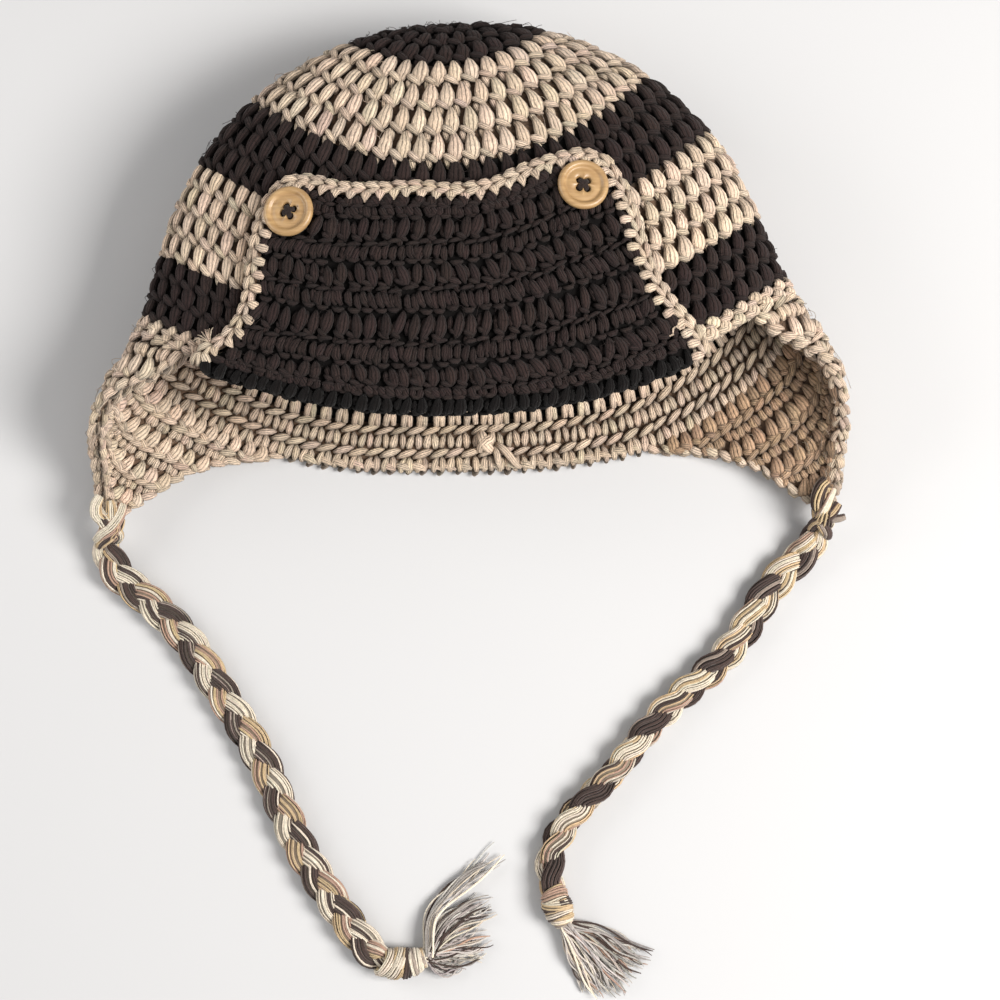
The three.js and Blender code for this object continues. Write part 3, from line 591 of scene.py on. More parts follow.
# Points of a lobe's spine at every stitch of a round, and the way out of the fabric at each: the
# lobe's rows are added to the stitch's place along the round and square to it, with a lean for each
# stitch. Where the patch is slanted, the slant times the step across is taken off the place along it.
def spinesOnRow(point, row, rowStep, spine, inside, jitter, lean=0.0):
    spine = np.array(spine)
    n, total = len(row["at"]), row["lengths"][-1]
    loose = rng.normal(0, jitter, (n, 1, 3))
    swing = (rng.normal(0, jitter * 0.4, (n, 1)) / 3 + lean) * (spine[:, 1] - spine[:, 1].mean())
    facing = -1 if inside else 1
    at = row["at"][:, None] + facing * (spine[:, 0] + loose[..., 0] + swing) * row["width"] / stitch["pitch"]
    across = rowStep * (spine[:, 1] + loose[..., 1]) / stitch["tall"]
    at = at - row["slant"][:, None] * across
    at = np.mod(at, total) if row["closed"] else np.clip(at, 0, total)
    u = np.interp(at, row["lengths"], row["dense"])
    v = row["v"] + across
    height = spine[:, 2] + loose[..., 2] * 0.6
    if inside:
        height = -hat["wall"] - height
    places = point(u, v, height)
    return places, unit(point(u, v, height + facing) - places)


# Lobes of one motif at every stitch of a round, each dye times a painted shade. On the crown, a stitch leans by
# one minus the cosine of its angle, and its form blends from round to pointed by a cosine. Elsewhere
# it leans by the tilt.
def addStitches(store, point, row, rowStep, motif, inside, dye, jitter, turned, swell=1.0, tilt=0.0, shade=1.0):
    n = len(row["at"])
    angle = 360 * (1 - row["at"] / row["lengths"][-1])[:, None] if turned else None
    lean, share = tilt, 0.7
    if turned:
        share = easeIn(0.5 + 0.9 * np.cos(np.radians(angle - stitch["pointedFrom"])))
    if turned and not inside:
        lean = stitch["lean"] * (1 - np.cos(np.radians(angle - stitch["leanFrom"]))) / 2
    for lobe in motif:
        spines, normals = spinesOnRow(point, row, rowStep, lobe["spine"], inside, jitter, lean)
        size = row["width"] / stitch["pitch"] * swell * uneven(n, stitch["uneven"])
        wide = np.array(lobe["wide"])
        if "round" in lobe:
            wide = wide * share + np.array(lobe["round"]) * (1 - share)
        addTubes(store, spines, normals, wide * size, np.array(lobe["thick"]) * size, lobe["sides"],
                 dyeFor(dye, n) * shade, rim=stitch["rim"])


# Every round of a patch of fabric: stitches outside and inside, and a thin sheet of painted shade between them.
# Worked back and forth, each face shows the other face's stitch in every other row. The inside's
# stitches can lie lower by a sink, and be darkened by a painted shade.
def addFabric(store, point, rows, dye, closed, starting=0, sink=0.0, shade=1.0):
    # The inside stitches of a dark patch take the dark painted shade, as yarn in deep shadow
    inner = "darkPaintedShade" if dye == "dark" else dye
    for i in range(rows):
        pitch = stitch["pitch"] if closed else stitch["flapPitch"]
        row = stitchRow(point, (i + 0.5) / rows, pitch, 0.5 * ((i + starting) % 2), closed)
        faces = (outerStitch, innerStitch) if closed or i % 2 else (innerStitch, outerStitch)
        jitter, swell = stitch["crown" if closed else "flap"].values()
        addStitches(store, point, row, 1 / rows, faces[0], False, dye, jitter, closed, swell)
        row["v"] += sink
        addStitches(store, point, row, 1 / rows, faces[1], True, inner, jitter, closed, swell, 0.0, shade)
    u = np.linspace(0, 1, 129)[: 128 if closed else 129]
    v = np.linspace(0, 1, rows * 3 + 1)
    gridU, gridV = np.meshgrid(u, v)
    faces = [point(gridU, gridV, np.full_like(gridU, height)) for height in stitch["backing"]]
    # The sheet takes the patch's dye as painted shade, so the gaps between stitches read as shadow
    addSheet(store, faces[0], faces[1], np.array(dyes[dye + "PaintedShade"]), closed)


fuzz = {
    "count": 120,
    "radius": 0.1,
    "rows": 5,
    "reach": (3, 7),
    "lift": (0.6, 2.4),
    "patches": {"ring": (430, 35), "flap": (90, 62), "brim": (160, 78)},  # width and height of each
}


# Loose fibres on both faces of a patch of the given size: each starts in the fabric, runs a seeded way
# along it by its reach, and rises by a sine of its share or by the share itself
def addFuzz(store, point, size, dye, faces=(1, -1)):
    share = np.linspace(0, 1, fuzz["rows"])[None]
    for facing in faces:
        n = fuzz["count"] // len(faces)
        u, v = rng.uniform(0.03, 0.97, (n, 1)), rng.uniform(0.03, 0.97, (n, 1))
        way, reach = rng.uniform(0, 6.3, (n, 1)), rng.uniform(*fuzz["reach"], (n, 1))
        lift = rng.uniform(*fuzz["lift"], (n, 1))
        lift = lift * np.where(rng.random((n, 1)) < 0.5, np.sin(np.pi * share), share)
        bend = way + rng.normal(0, 1, (n, 1)) * share
        u = np.clip(u + np.cos(bend) * reach * share / size[0], 0, 1)
        v = np.clip(v + np.sin(bend) * reach * share / size[1], 0, 1)
        height = 0.6 + lift if facing > 0 else -hat["wall"] - 0.6 - lift
        spines = point(u, v, height)
        normals = unit(point(u, v, height + facing) - spines)
        addTubes(store, spines, normals, fuzz["radius"], fuzz["radius"], 3, dyeFor(dye, n, 0.12) * 1.1)


# Points beside an edge's line: (along, inward, up) from each stitch's place on it
def besideEdging(run, at, spine, jitter):
    n = len(at)
    loose = rng.normal(0, jitter, (n, 1, 3))
    spine = np.broadcast_to(spine, (n, *np.shape(spine)[-2:])) + loose
    where = np.clip(at[:, None] + spine[..., 0], 0, run["lengths"][-1])
    places, inward, out = (columnsAt(where, run["lengths"], run[key]) for key in ("places", "in", "out"))
    out = unit(out)
    return places + inward * spine[..., 1:2] + out * spine[..., 2:3], out


# An edge's line as a run: places, heading, way out of the fabric and way into it
def edgeRun(places, out):
    heading = unit(np.gradient(places, axis=0))
    return {
        "places": places, "heading": heading, "out": out, "in": unit(np.cross(heading, out)),
        "lengths": lengthRun(places),
    }


# The chain along an open edge: two arms on each face of it and a loop on the edge itself
border = {
    "pitch": 5.6,
    "arms": [
        [(-3.4, 1.3, 1.9), (-1.5, 0.3, 2.3), (0.7, -0.4, 1.7), (2.6, -0.6, 0.5)],
        [(-3.4, 1.3, -1.9), (-1.5, 0.3, -2.3), (0.7, -0.4, -1.7), (2.6, -0.6, -0.5)],
        [(-2.6, 0.2, 0.3), (-0.9, -0.9, 0.6), (0.9, -1.1, -0.2), (2.6, 0, -0.6)],
    ],
    "wide": [0.6, 1.4, 1.5, 0.6],
    "thick": [0.6, 1.2, 1.25, 0.6],
    # painted shade on the flanks of the chain's lobes
    "rim": 0.3,
    "uneven": 0.1,
    "jitter": 0.25,
}


# Chain stitches along an edge's run
def addBorder(store, run, dye):
    count = int(run["lengths"][-1] / border["pitch"])
    at = (np.arange(count) + 0.5) / count * run["lengths"][-1]
    for arm in border["arms"]:
        spines, normals = besideEdging(run, at, arm, border["jitter"])
        size = uneven(count, border["uneven"])
        facing = np.sign(arm[1][2])
        wide, thick = np.array(border["wide"]) * size, np.array(border["thick"]) * size
        addTubes(store, spines, normals * facing, wide, thick, 7, dyeFor(dye, count), rim=border["rim"])


# A ring of the crown: u goes round it to the right as seen from outside, v from its upper seam down
def ringPoint(start, end):
    def point(u, v, height):
        angle = 360 * (1 - u)
        last = end(angle) if callable(end) else end
        return fabric(angle, start + (last - start) * v, height)
    return point


rings = [
    {"name": "crown_cap", "start": 0, "end": 37.5, "dye": "dark", "slot": "dark_yarn", "rows": 4},
    {"name": "crown_tan_upper", "start": 37.5, "end": 79, "dye": "tan", "slot": "tan_yarn", "rows": 4},
    {"name": "crown_dark_middle", "start": 79, "end": 109, "dye": "dark", "slot": "dark_yarn", "rows": 3},
    {"name": "crown_tan_middle", "start": 109, "end": 146, "dye": "tan", "slot": "tan_yarn", "rows": 4},
    {"name": "crown_dark_lower", "start": 146, "end": 169.5, "dye": "dark", "slot": "dark_yarn", "rows": 3},
    {"name": "lower_band", "start": 169.5, "end": edgeReach, "dye": "tan", "slot": "tan_yarn", "rows": 2},
]
nape = {
    # painted shade on the flanks of the loose bits
    "rim": 0.5,
    "from": 291,  # degrees round the hat, between the two ear flaps
    "to": 249,
    "width": 19,  # of the band there
    "sink": 0.13,  # of the inside's stitches, as a share of the band
    "poke": -0.1,  # of the first domes past the seam, as a share of the band
    "bits": [  # half width, shade and line of each loose bit of yarn
        (1.35, 1.1, [(10.6, -1.3, -0.6), (10.8, -0.9, 1.6), (11.0, -0.5, 2.8), (11.2, -0.15, 3.0),
                     (11.0, 0.08, 1.8), (10.8, 0.2, 0.4)]),
        (2.3, 1.15, [(4.6, 0.22, 0.2), (5.2, 0.36, 2.4), (6.4, 0.52, 2.9), (8.0, 0.62, 1.6), (9.0, 0.66, 0.2)]),
        (1.9, 1.15, [(9.0, 0.26, 0.2), (8.4, 0.4, 2.4), (6.6, 0.46, 3.6), (4.8, 0.56, 2.4), (4.2, 0.66, 0.6)]),
        (1.5, 1.05, [(10.4, 0.5, 0.8), (12.6, 0.6, 2.6), (15.2, 0.78, 2.6), (17.4, 0.96, 1.8),
                     (19.0, 1.02, 0.4)]),
        (1.3, 1.1, [(9.6, 0.56, 0.6), (10.6, 0.72, 2.4), (11.0, 0.9, 2.2), (11.6, 1.02, 0.8)]),
    ],
}


# The nape: domes that stand past the seam inside, the chain along the open edge, the carried strand,
# and the knotted end of a yarn with its tail. Their rows are (place across the hat, share of the band, height).
def addNape(store, point):
    row = stitchRow(point, nape["poke"], stitch["pitch"], 0, True)
    # The domes' tan dye is lightened by a painted highlight, times 1.08
    for lobe in domeStitch:
        spines, normals = spinesOnRow(point, row, 0.5, lobe["spine"], True, 0.2)
        addTubes(store, spines, normals, lobe["wide"], lobe["thick"], lobe["sides"],
                 dyeFor("tan", len(spines)) * 1.08, rim=stitch["rim"])
    u = 1 - np.linspace(nape["from"], nape["to"], 301) / 360
    places = point(u, np.full_like(u, 0.94), -0.5 * hat["wall"] + 0 * u)
    addBorder(store, edgeRun(places, outward(360 * (1 - u), edgeReach(360 * (1 - u)))), "tan")
    across = point(u, np.full_like(u, 0.4), np.full_like(u, -hat["wall"]))[:, 0]
    order = np.argsort(across)
    for radius, shade, rows in nape["bits"]:
        rows = np.array(rows, float)
        line, _ = smoothPath(rows * (1, nape["width"], 1), 0.8)
        there, down = np.interp(line[:, 0], across[order], u[order]), line[:, 1] / nape["width"]
        spine = point(there, down, -hat["wall"] - line[:, 2])
        normal = point(there, down, -hat["wall"] - line[:, 2] - 1) - spine
        ends = roundEnds(len(line), 0.08)
        addTubes(store, spine[None], normal[None], radius * ends, radius * ends * 0.8, 8,
                 dyeFor("tan", 1, 0.02) * shade, rim=nape["rim"])


roundsSoFar = 0
for ring in rings:
    store = newStore()
    point = ringPoint(ring["start"], ring["end"])
    sink = nape["sink"] if ring["name"] == "lower_band" else 0.0
    addFabric(store, point, ring["rows"], ring["dye"], True, roundsSoFar, sink)
    roundsSoFar += ring["rows"]
    addFuzz(store, point, fuzz["patches"]["ring"], ring["dye"], (1,))
    if ring["name"] == "lower_band":
        addNape(store, point)
    yarn = darkYarn if ring["dye"] == "dark" else stitchYarn
    makePiece("crochet_" + ring["name"], store, yarn, [ring["name"]])


# Angles that split a round into 40 equal lengths, as the CAD facets do
def evenAngles(count):
    dense = np.linspace(0, 360, 1441)
    lengths = lengthRun(surface(dense, np.full_like(dense, 140)))
    return np.interp(lengths[-1] * np.arange(count) / count, lengths, dense)


# Ear flap: u runs to the right as seen from outside and v from the lower band to the tip. Its front
# and back edges come from the tables, and its tip is rounded by a parabola.
def flapPoint(side):
    base = evenAngles(40)
    base = (180 - base if side == "left" else base) % 360
    base = np.where(base > 180, base - 360, base)
    base = base[(base < flapFront[0][1] + 3) & (base > flapBack[0][1] - 3)]
    first, last = base.max(), base.min()

    def point(u, v, height):
        u = 1 - u if side == "left" else u
        angle = first + (last - first) * u
        front = cubicThrough(flapFront, v) + (first - flapFront[0][1]) * (1 - v)
        back = cubicThrough(flapBack, v) + (last - flapBack[0][1]) * (1 - v)
        here = front + (back - front) * u
        seam = edgeReach(angle)
        tip = hat["flapReach"] - 5 * (2 * u - 1) ** 2
        here = 180 - here if side == "left" else here
        return fabric(here, seam + (tip - seam) * v, height)
    return point


# Painted shade on the inside of the right ear flap: its stitches are darkened and browned as if in the flap's own
# shadow, the left one's are left plain
flapPaintedShade = {"left": (1, 1, 1), "right": (0.66, 0.56, 0.47)}
for side in ("left", "right"):
    store = newStore()
    point = flapPoint(side)
    addFabric(store, point, 8, "tan", False, shade=np.array(flapPaintedShade[side]))
    addFuzz(store, point, fuzz["patches"]["flap"], "tan")
    part, zero = np.linspace(0, 1, 120), np.zeros(120)
    u = np.concatenate([zero, part[1:], zero[1:] + 1])
    v = np.concatenate([part, zero[1:] + 1, 1 - part[1:]])
    if side == "right":
        u, v = u[::-1], v[::-1]
    places = point(u, v, -0.5 * hat["wall"] + 0 * u)
    addBorder(store, edgeRun(places, unit(point(u, v, 0 * u) - places)), "tan")
    makePiece("crochet_ear_flap_" + side, store, stitchYarn, ["ear_flap_" + side])
print("crochet done")

# Middle of the crocheted edge of the flap: angle round the hat and reach, from the fold up the left
# side, over the top and down the right side
edgingLine = [
    (139.1, 175.5), (137.6, 172), (134.2, 166.5), (131.5, 157), (130.3, 147.5), (130.6, 139), (131, 131),
    (131.5, 122), (131.6, 112), (130.4, 104.5), (127.4, 100), (122.5, 97.2), (116.2, 96), (109.5, 94),
    (101.5, 91.2), (95.5, 90.8), (89.5, 91.8), (84.8, 91.6), (80.6, 90.4), (70.5, 88.4), (65.3, 89),
    (60.2, 90.6), (57, 94.2), (55.4, 99), (54.8, 110.8), (55.2, 121), (55.8, 134.5), (54.9, 147.5),
    (53.2, 158), (50.2, 168.6), (49.3, 175.5),
]
brim = {
    "upperCorners": (10, 21),  # rows of that table
    "edgingRadius": 2.5,
    "edgingPast": 4,  # how far the edge runs on round the fold
    "rows": 10,
    "foldRows": 2,
    "pitch": 5.1,
    "tall": 78,
    "above": 80,  # millimetres of reach for a v of one past the top edge
    "jitter": 0.46,
    "swell": 1.14,
    "backing": (-1.8, -3.6),
    "shift": 0.25,  # of a stitch, to either side in turn
    "firstTilt": 0.22,
    "secondTilt": -0.16,
    "tiltSpread": 0.2,
}
# Round of the fold: how far past the forehead edge, and how high above the crown
foldProfile = [(0, 4.8), (2.6, 4.5), (4.4, 2.9), (5, 0.4), (4.2, -2.4), (2.2, -4.2)]


# Angle and reach at a row number of the edging's table, rows between two being interpolated
def edgingAt(row):
    index = np.arange(len(edgingLine))
    angles, reaches = np.array(edgingLine, float).T
    return cubicThrough(np.stack([index, angles], 1), row), cubicThrough(np.stack([index, reaches], 1), row)


# The flap's outline: the edging's line moved inward by its radius and two gaps, in hat terms
def brimOutline():
    left, right = brim["upperCorners"]
    last = len(edgingLine) - 1
    rows = np.concatenate([
        np.linspace(0, left, 10, endpoint=False), np.linspace(left, right, 16, endpoint=False),
        np.linspace(right, last, 11),
    ])
    angle, reach = edgingAt(rows)
    places = surface(angle, reach)
    before, after = np.maximum(np.arange(len(rows)) - 1, 0), np.minimum(np.arange(len(rows)) + 1, len(rows) - 1)
    inward = unit(np.cross(places[after] - places[before], outward(angle, reach)))
    perDegree = surface(angle + 0.5, reach) - surface(angle - 0.5, reach)
    perReach = surface(angle, reach + 0.5) - surface(angle, reach - 0.5)
    shift = brim["edgingRadius"] + 2 * hat["gap"]
    angle = angle + shift * (inward * perDegree).sum(-1) / (perDegree**2).sum(-1)
    reach = reach + shift * (inward * perReach).sum(-1) / (perReach**2).sum(-1)
    return angle, np.minimum(reach, hat["frontEdge"])


outlineAngle, outlineReach = brimOutline()
outlineReach[[0, -1]] = hat["frontEdge"]


# A point of the flap: u across it and v from its top edge to the fold at 1, then on round the fold.
# On its face it blends the two sides, and adds the top edge's own line in proportion to 1 - v.
def brimPoint(u, v, lift):
    u, v, lift = np.broadcast_arrays(u, v, lift)
    face = np.clip(v, 0, 1)
    down, across = np.linspace(0, 1, 11), np.linspace(0, 1, 17)
    coons = []
    for values in (outlineAngle, outlineReach):
        left, top, right = values[10::-1], values[10:27], values[26:]
        level = np.interp(face, down, left) * (1 - u) + np.interp(face, down, right) * u
        crest = left[0] * (1 - u) + right[0] * u
        coons.append(level + (np.interp(u, across, top) - crest) * (1 - face))
    angle, reach = coons
    reach = reach + np.minimum(v, 0) * brim["above"]
    fold = np.array(foldProfile, float)
    lengths = lengthRun(fold)
    run = np.maximum(v - 1, 0) * brim["tall"]
    past, height = np.interp(run, lengths, fold[:, 0]), np.interp(run, lengths, fold[:, 1])
    ahead, behind = run + 1.2, np.maximum(run - 1.2, 0)
    stepPast = np.interp(ahead, lengths, fold[:, 0]) - np.interp(behind, lengths, fold[:, 0])
    stepHeight = np.interp(ahead, lengths, fold[:, 1]) - np.interp(behind, lengths, fold[:, 1])
    size = np.hypot(stepPast, stepHeight)
    outPast, outHeight = -stepHeight / size, stepPast / size
    flat = v < 1
    outPast, outHeight = np.where(flat, 0, outPast), np.where(flat, 1, outHeight)
    return fabric(angle, reach + past + outPast * lift, height + outHeight * lift)


# Stitches of the flap's face, smaller than the crown's: a leaf row, and a row with a thin level ridge
leafStitch = [
    {"spine": [(0.8, -4.6, -1.7), (1.2, -3.1, -0.5), (1.3, -1.2, 0.2), (1.1, 0.7, 0.3), (0.8, 2.4, 0),
               (0.4, 3.8, -0.9)],
     "wide": [0.8, 1.6, 2.1, 2.15, 1.5, 0.5], "thick": [0.9, 1.4, 1.6, 1.5, 1.1, 0.4], "sides": 7},
    {"spine": [(1.4, 3.6, -0.5), (0.1, 3.0, 0.3), (-1.5, 2.3, 0.2), (-2.8, 1.4, -0.6)],
     "wide": [0.5, 1.1, 1.1, 0.5], "thick": [0.5, 0.9, 0.9, 0.5], "sides": 6},
    {"spine": [(-2.0, -3.0, -1.7), (-1.9, -1.2, -0.5), (-1.7, 0.5, -0.5), (-1.5, 1.9, -1.7)],
     "wide": [0.8, 1.35, 1.3, 0.7], "thick": [0.7, 1.1, 1.1, 0.7], "sides": 6},
    {"spine": [(-1.0, 3.2, -1.7), (-0.9, 4.3, -0.9), (-0.7, 5.2, -1.0), (-0.6, 6.0, -2)],
     "wide": [0.9, 1.4, 1.3, 0.8], "thick": [0.7, 1.1, 1.0, 0.7], "sides": 6},
]
ridgeStitch = [
    {"spine": [(-2.9, -3.5, -0.5), (-1.0, -3.9, 0.2), (1.0, -4.1, 0.2), (2.9, -4.2, -0.5)],
     "wide": [0.5, 0.9, 0.9, 0.5], "thick": [0.5, 0.85, 0.85, 0.5], "sides": 6},
    {"spine": [(-1.2, -2.7, -1.4), (-1.7, -1.2, -0.1), (-1.8, 0.6, 0), (-1.3, 2.2, -1.2)],
     "wide": [0.9, 1.6, 1.7, 0.9], "thick": [0.9, 1.4, 1.4, 0.9], "sides": 7},
    {"spine": [(1.7, -2.8, -1.5), (1.5, -1.3, -0.2), (1.4, 0.6, -0.1), (1.8, 2.3, -1.3)],
     "wide": [0.9, 1.5, 1.6, 0.9], "thick": [0.9, 1.3, 1.3, 0.9], "sides": 7},
    {"spine": [(-2.4, 2.6, -1.2), (-0.8, 3.4, -0.3), (0.9, 3.5, -0.4), (2.3, 2.8, -1.3)],
     "wide": [0.6, 1.1, 1.1, 0.6], "thick": [0.6, 0.9, 0.9, 0.6], "sides": 6},
]


# Worked back and forth: every other row shows the inside stitch, at the outside's height
def addBrim(store):
    total = brim["rows"] + brim["foldRows"]
    for i in range(total):
        row = stitchRow(brimPoint, (i + 0.5) / brim["rows"], brim["pitch"], 0, False)
        first = i % 4 < 2
        shift = brim["shift"] if first else -brim["shift"]
        row["at"] = row["at"] + shift * row["width"] + rng.normal(0, 0.35, len(row["at"]))
        motif = ridgeStitch if i % 2 else leafStitch
        # Rows past the last turn under the fold and take the dark painted shade, as yarn in the fold's shadow
        dye = "darkPaintedShade" if i >= brim["rows"] else "dark"
        tilt = brim["firstTilt"] if first else brim["secondTilt"]
        tilt = rng.normal(tilt, brim["tiltSpread"], (len(row["at"]), 1))
        addStitches(store, brimPoint, row, 1 / brim["rows"], motif, False, dye, brim["jitter"], False,
                    brim["swell"], tilt)
    # A backing sheet of dark painted shade under the flap's stitches and the fold
    u, v = np.meshgrid(np.linspace(0, 1, 61), np.linspace(0, 1 + brim["foldRows"] / brim["rows"] * 0.9, 41))
    faces = [brimPoint(u, v, height + 0 * u) for height in brim["backing"]]
    addSheet(store, faces[0], faces[1], np.array(dyes["darkPaintedShade"]))


store = newStore()
addBrim(store)
addFuzz(store, brimPoint, fuzz["patches"]["brim"], "dark", (1,))
makePiece("crochet_front_brim", store, darkYarn, ["front_brim"])


# The edging's line as a dense run: places, heading, way in towards the flap and way out of the crown
def edgingRun():
    angle, reach = edgingAt(np.linspace(0, len(edgingLine) - 1, 901))
    past = brim["edgingPast"]
    angle = np.concatenate([[angle[0]] * 8, angle, [angle[-1]] * 8])
    onward = np.linspace(past / 8, past, 8)
    reach = np.concatenate([reach[0] + onward[::-1], reach, reach[-1] + onward])
    return edgeRun(fabric(angle, reach, hat["gap"] + brim["edgingRadius"]), outward(angle, reach))


edging = {
    "pitch": 4.9,
    "arms": [  # the chain's two arms, then the outer side's loop
        {"spine": [(-3.1, -1.5, 0.9), (-1.4, -1.45, 1.75), (0.6, -0.9, 1.9), (2.3, -0.2, 1.3)],
         "wide": [0.6, 1.2, 1.25, 0.5], "thick": [0.6, 1.05, 1.05, 0.5]},
        {"spine": [(-3.1, 1.1, 1.2), (-1.4, 1.1, 2.0), (0.6, 0.6, 2.1), (2.3, -0.1, 1.4)],
         "wide": [0.6, 1.05, 1.1, 0.5], "thick": [0.6, 1.0, 1.0, 0.5]},
        {"spine": [(-2.6, -2.0, -0.9), (-0.8, -2.5, -0.4), (1.0, -2.5, -0.3), (2.7, -2.0, -0.6)],
         "wide": [0.7, 1.2, 1.2, 0.7], "thick": [0.7, 1.1, 1.1, 0.7]},
    ],
    "tooth": [(0.2, 0.7, 1.4), (0.1, 1.9, 2.3), (0, 3.2, 2.8), (-0.1, 4.7, 2.5)],
    "toothWide": [1.7, 1.95, 1.3, 0.35],
    "fan": [(0.4, 0.6, 1.4), (0.2, 2.0, 2.5), (-0.1, 3.6, 2.9), (-0.3, 5.0, 2.3)],
    "fanWide": [1.1, 1.5, 1.75, 1.3],
    "thick": [0.8, 1.0, 0.85, 0.45],  # of a tooth or a fan
    # painted shade on the flanks of the edging's lobes
    "rim": 0.6,
    "uneven": 0.08,
    "armJitter": 0.18,
    "toothJitter": 0.2,
    "topFrom": 0.75,  # the least level heading of a line's part that has teeth, not fans
    "core": {"radius": 1.9, "sunk": 0.4},
}
# The edging's ends: a fan of yarns where its first corner has frayed, and a curl near its last
fray = {"at": 9.0, "lean": 2.6, "yarns": 9, "radius": 0.24, "shade": 1.2, "jitter": 0.15}
curl = {
    "at": 13.5,
    "spine": [(0, 1.2, 1.6), (1.4, 3.0, 2.9), (0.6, 4.4, 3.2), (-1.2, 4.6, 2.9), (-1.4, 6.0, 2.6),
              (0.2, 7.4, 2.3), (-0.6, 9.0, 1.6)],
    "wide": 0.45,
    "thick": 0.4,
    "shade": 1.15,
    "jitter": 0.1,
}
store = newStore()
run = edgingRun()
count = int(run["lengths"][-1] / edging["pitch"])
at = (np.arange(count) + 0.5) / count * run["lengths"][-1]
for arm in edging["arms"]:
    spines, normals = besideEdging(run, at, arm["spine"], edging["armJitter"])
    size = uneven(count, edging["uneven"])
    wide, thick = np.array(arm["wide"]) * size, np.array(arm["thick"]) * size
    addTubes(store, spines, normals, wide, thick, 7, dyeFor("tan", count), rim=edging["rim"])
isTop = np.interp(at, run["lengths"], np.abs(run["heading"][:, 0])) > edging["topFrom"]
for chosen, key, wideKey in ((isTop, "tooth", "toothWide"), (~isTop, "fan", "fanWide")):
    n = int(chosen.sum())
    spines, normals = besideEdging(run, at[chosen] + edging["pitch"] / 2, edging[key], edging["toothJitter"])
    addTubes(store, spines, normals, edging[wideKey], edging["thick"], 8, dyeFor("tan", n), rim=edging["rim"])
for lean in np.linspace(-fray["lean"], fray["lean"], fray["yarns"]):
    fan = [(lean * 0.1, -1.4, 1.2), (lean * 0.4, -2.8, 2.6), (lean, -4.8, 2.9),
           (lean * 1.5, -6.6 + abs(lean) * 0.4, 2.2)]
    spines, normals = besideEdging(run, np.array([fray["at"]]), fan, fray["jitter"])
    addTubes(store, spines, normals, fray["radius"], fray["radius"], 4, dyeFor("tan", 1) * fray["shade"])
spines, normals = besideEdging(run, run["lengths"][-1:] - curl["at"], curl["spine"], curl["jitter"])
addTubes(store, spines, normals, curl["wide"], curl["thick"], 5, dyeFor("tan", 1) * curl["shade"])
# The edging's core: the tan yarn darkened as painted shade, seen between its arms
out, radius = run["out"][::6], edging["core"]["radius"]
core = run["places"][::6] - out * edging["core"]["sunk"]
addTubes(store, core[None], out[None], radius, radius, 8, np.array([dyes["tanPaintedShade"]]))
makePiece("crochet_brim_edging", store, stitchYarn, ["brim_edging"])

buttons = [
    {"side": "left", "angle": 125.2, "reach": 111.5, "turn": 20},
    {"side": "right", "angle": 63.5, "reach": 102.2, "turn": 42},
]
button = {
    "seat": 5.1,  # its underside above the crown
    "profile": [(0, 0), (7.2, 0), (8.2, 0.35), (8.8, 1.0), (9.0, 1.9), (8.85, 2.6), (8.4, 3.15), (7.8, 3.4),
                (7.2, 3.3), (6.75, 2.9), (6.45, 2.4), (6.1, 2.2), (5.6, 2.25), (4.8, 2.4), (0, 2.45)],
    "hole": 1.15,
    "spacing": 2.05,
    "dye": (0.6, 0.42, 0.22),
    "grain": (90, 900, 300),
    "tones": [(0.3, (0.34, 0.2, 0.088, 1)), (0.7, (0.50, 0.325, 0.15, 1))],
}


# Wood: long soft streaks, from a noise scaled by the grain, between two tones, under a satin finish
def woodMaterial():
    material, tree = newMaterial("button wood", {"Roughness": 0.42, "Coat Weight": 0.25, "Coat Roughness": 0.3})
    squeeze = addNode(tree, "ShaderNodeMapping")
    squeeze.inputs["Scale"].default_value = button["grain"]
    squeeze.inputs["Rotation"].default_value = (0, 0, 0.5)
    tree.links.new(addNode(tree, "ShaderNodeTexCoord").outputs["Object"], squeeze.inputs["Vector"])
    streak = noiseNode(tree, squeeze.outputs[0], 1, 4)
    ramp = addNode(tree, "ShaderNodeValToRGB")
    for element, (position, tone) in zip(ramp.color_ramp.elements, button["tones"]):
        element.position, element.color = position, tone
    tree.links.new(streak, ramp.inputs["Fac"])
    tree.links.new(ramp.outputs[0], tree.nodes["Principled BSDF"].inputs["Base Color"])
    addBump(tree, streak, 0.25, 0.1)
    return material


# A turned body: each row of the profile is a ring of its radius at its height, closed on the axis
def addTurned(store, profile, sides, place, side, ahead, up, dye):
    radius, height = np.array(profile, float).T
    turn = 2 * np.pi * np.arange(sides) / sides
    rings = (side[None, None] * (radius[1:-1, None] * np.cos(turn))[..., None]
             + ahead[None, None] * (radius[1:-1, None] * np.sin(turn))[..., None]
             + up[None, None] * height[1:-1, None, None])
    points = np.concatenate([up[None] * height[0], rings.reshape(-1, 3), up[None] * height[-1]]) + place
    quads, tris, _, _ = tubeFaces(len(profile) - 2, sides)
    addFaces(store, points[None], quads, np.zeros((len(quads), 4, 2)), tris, np.zeros((len(tris), 3, 2)), dye)


# Stitches that sew a button on: places across it, as a share of the holes' distance, and heights
sewing = {
    "bow": [(-1.02, 0.4), (-0.98, 2.0), (-0.6, 2.85), (0, 3.15), (0.6, 2.85), (0.98, 2.0), (1.02, 0.4)],
    "shifts": (-0.55, 0, 0.55),
    "closing": 0.25,  # how much nearer they lie in a hole
    "radius": 0.42,
    "shade": 0.35,
}


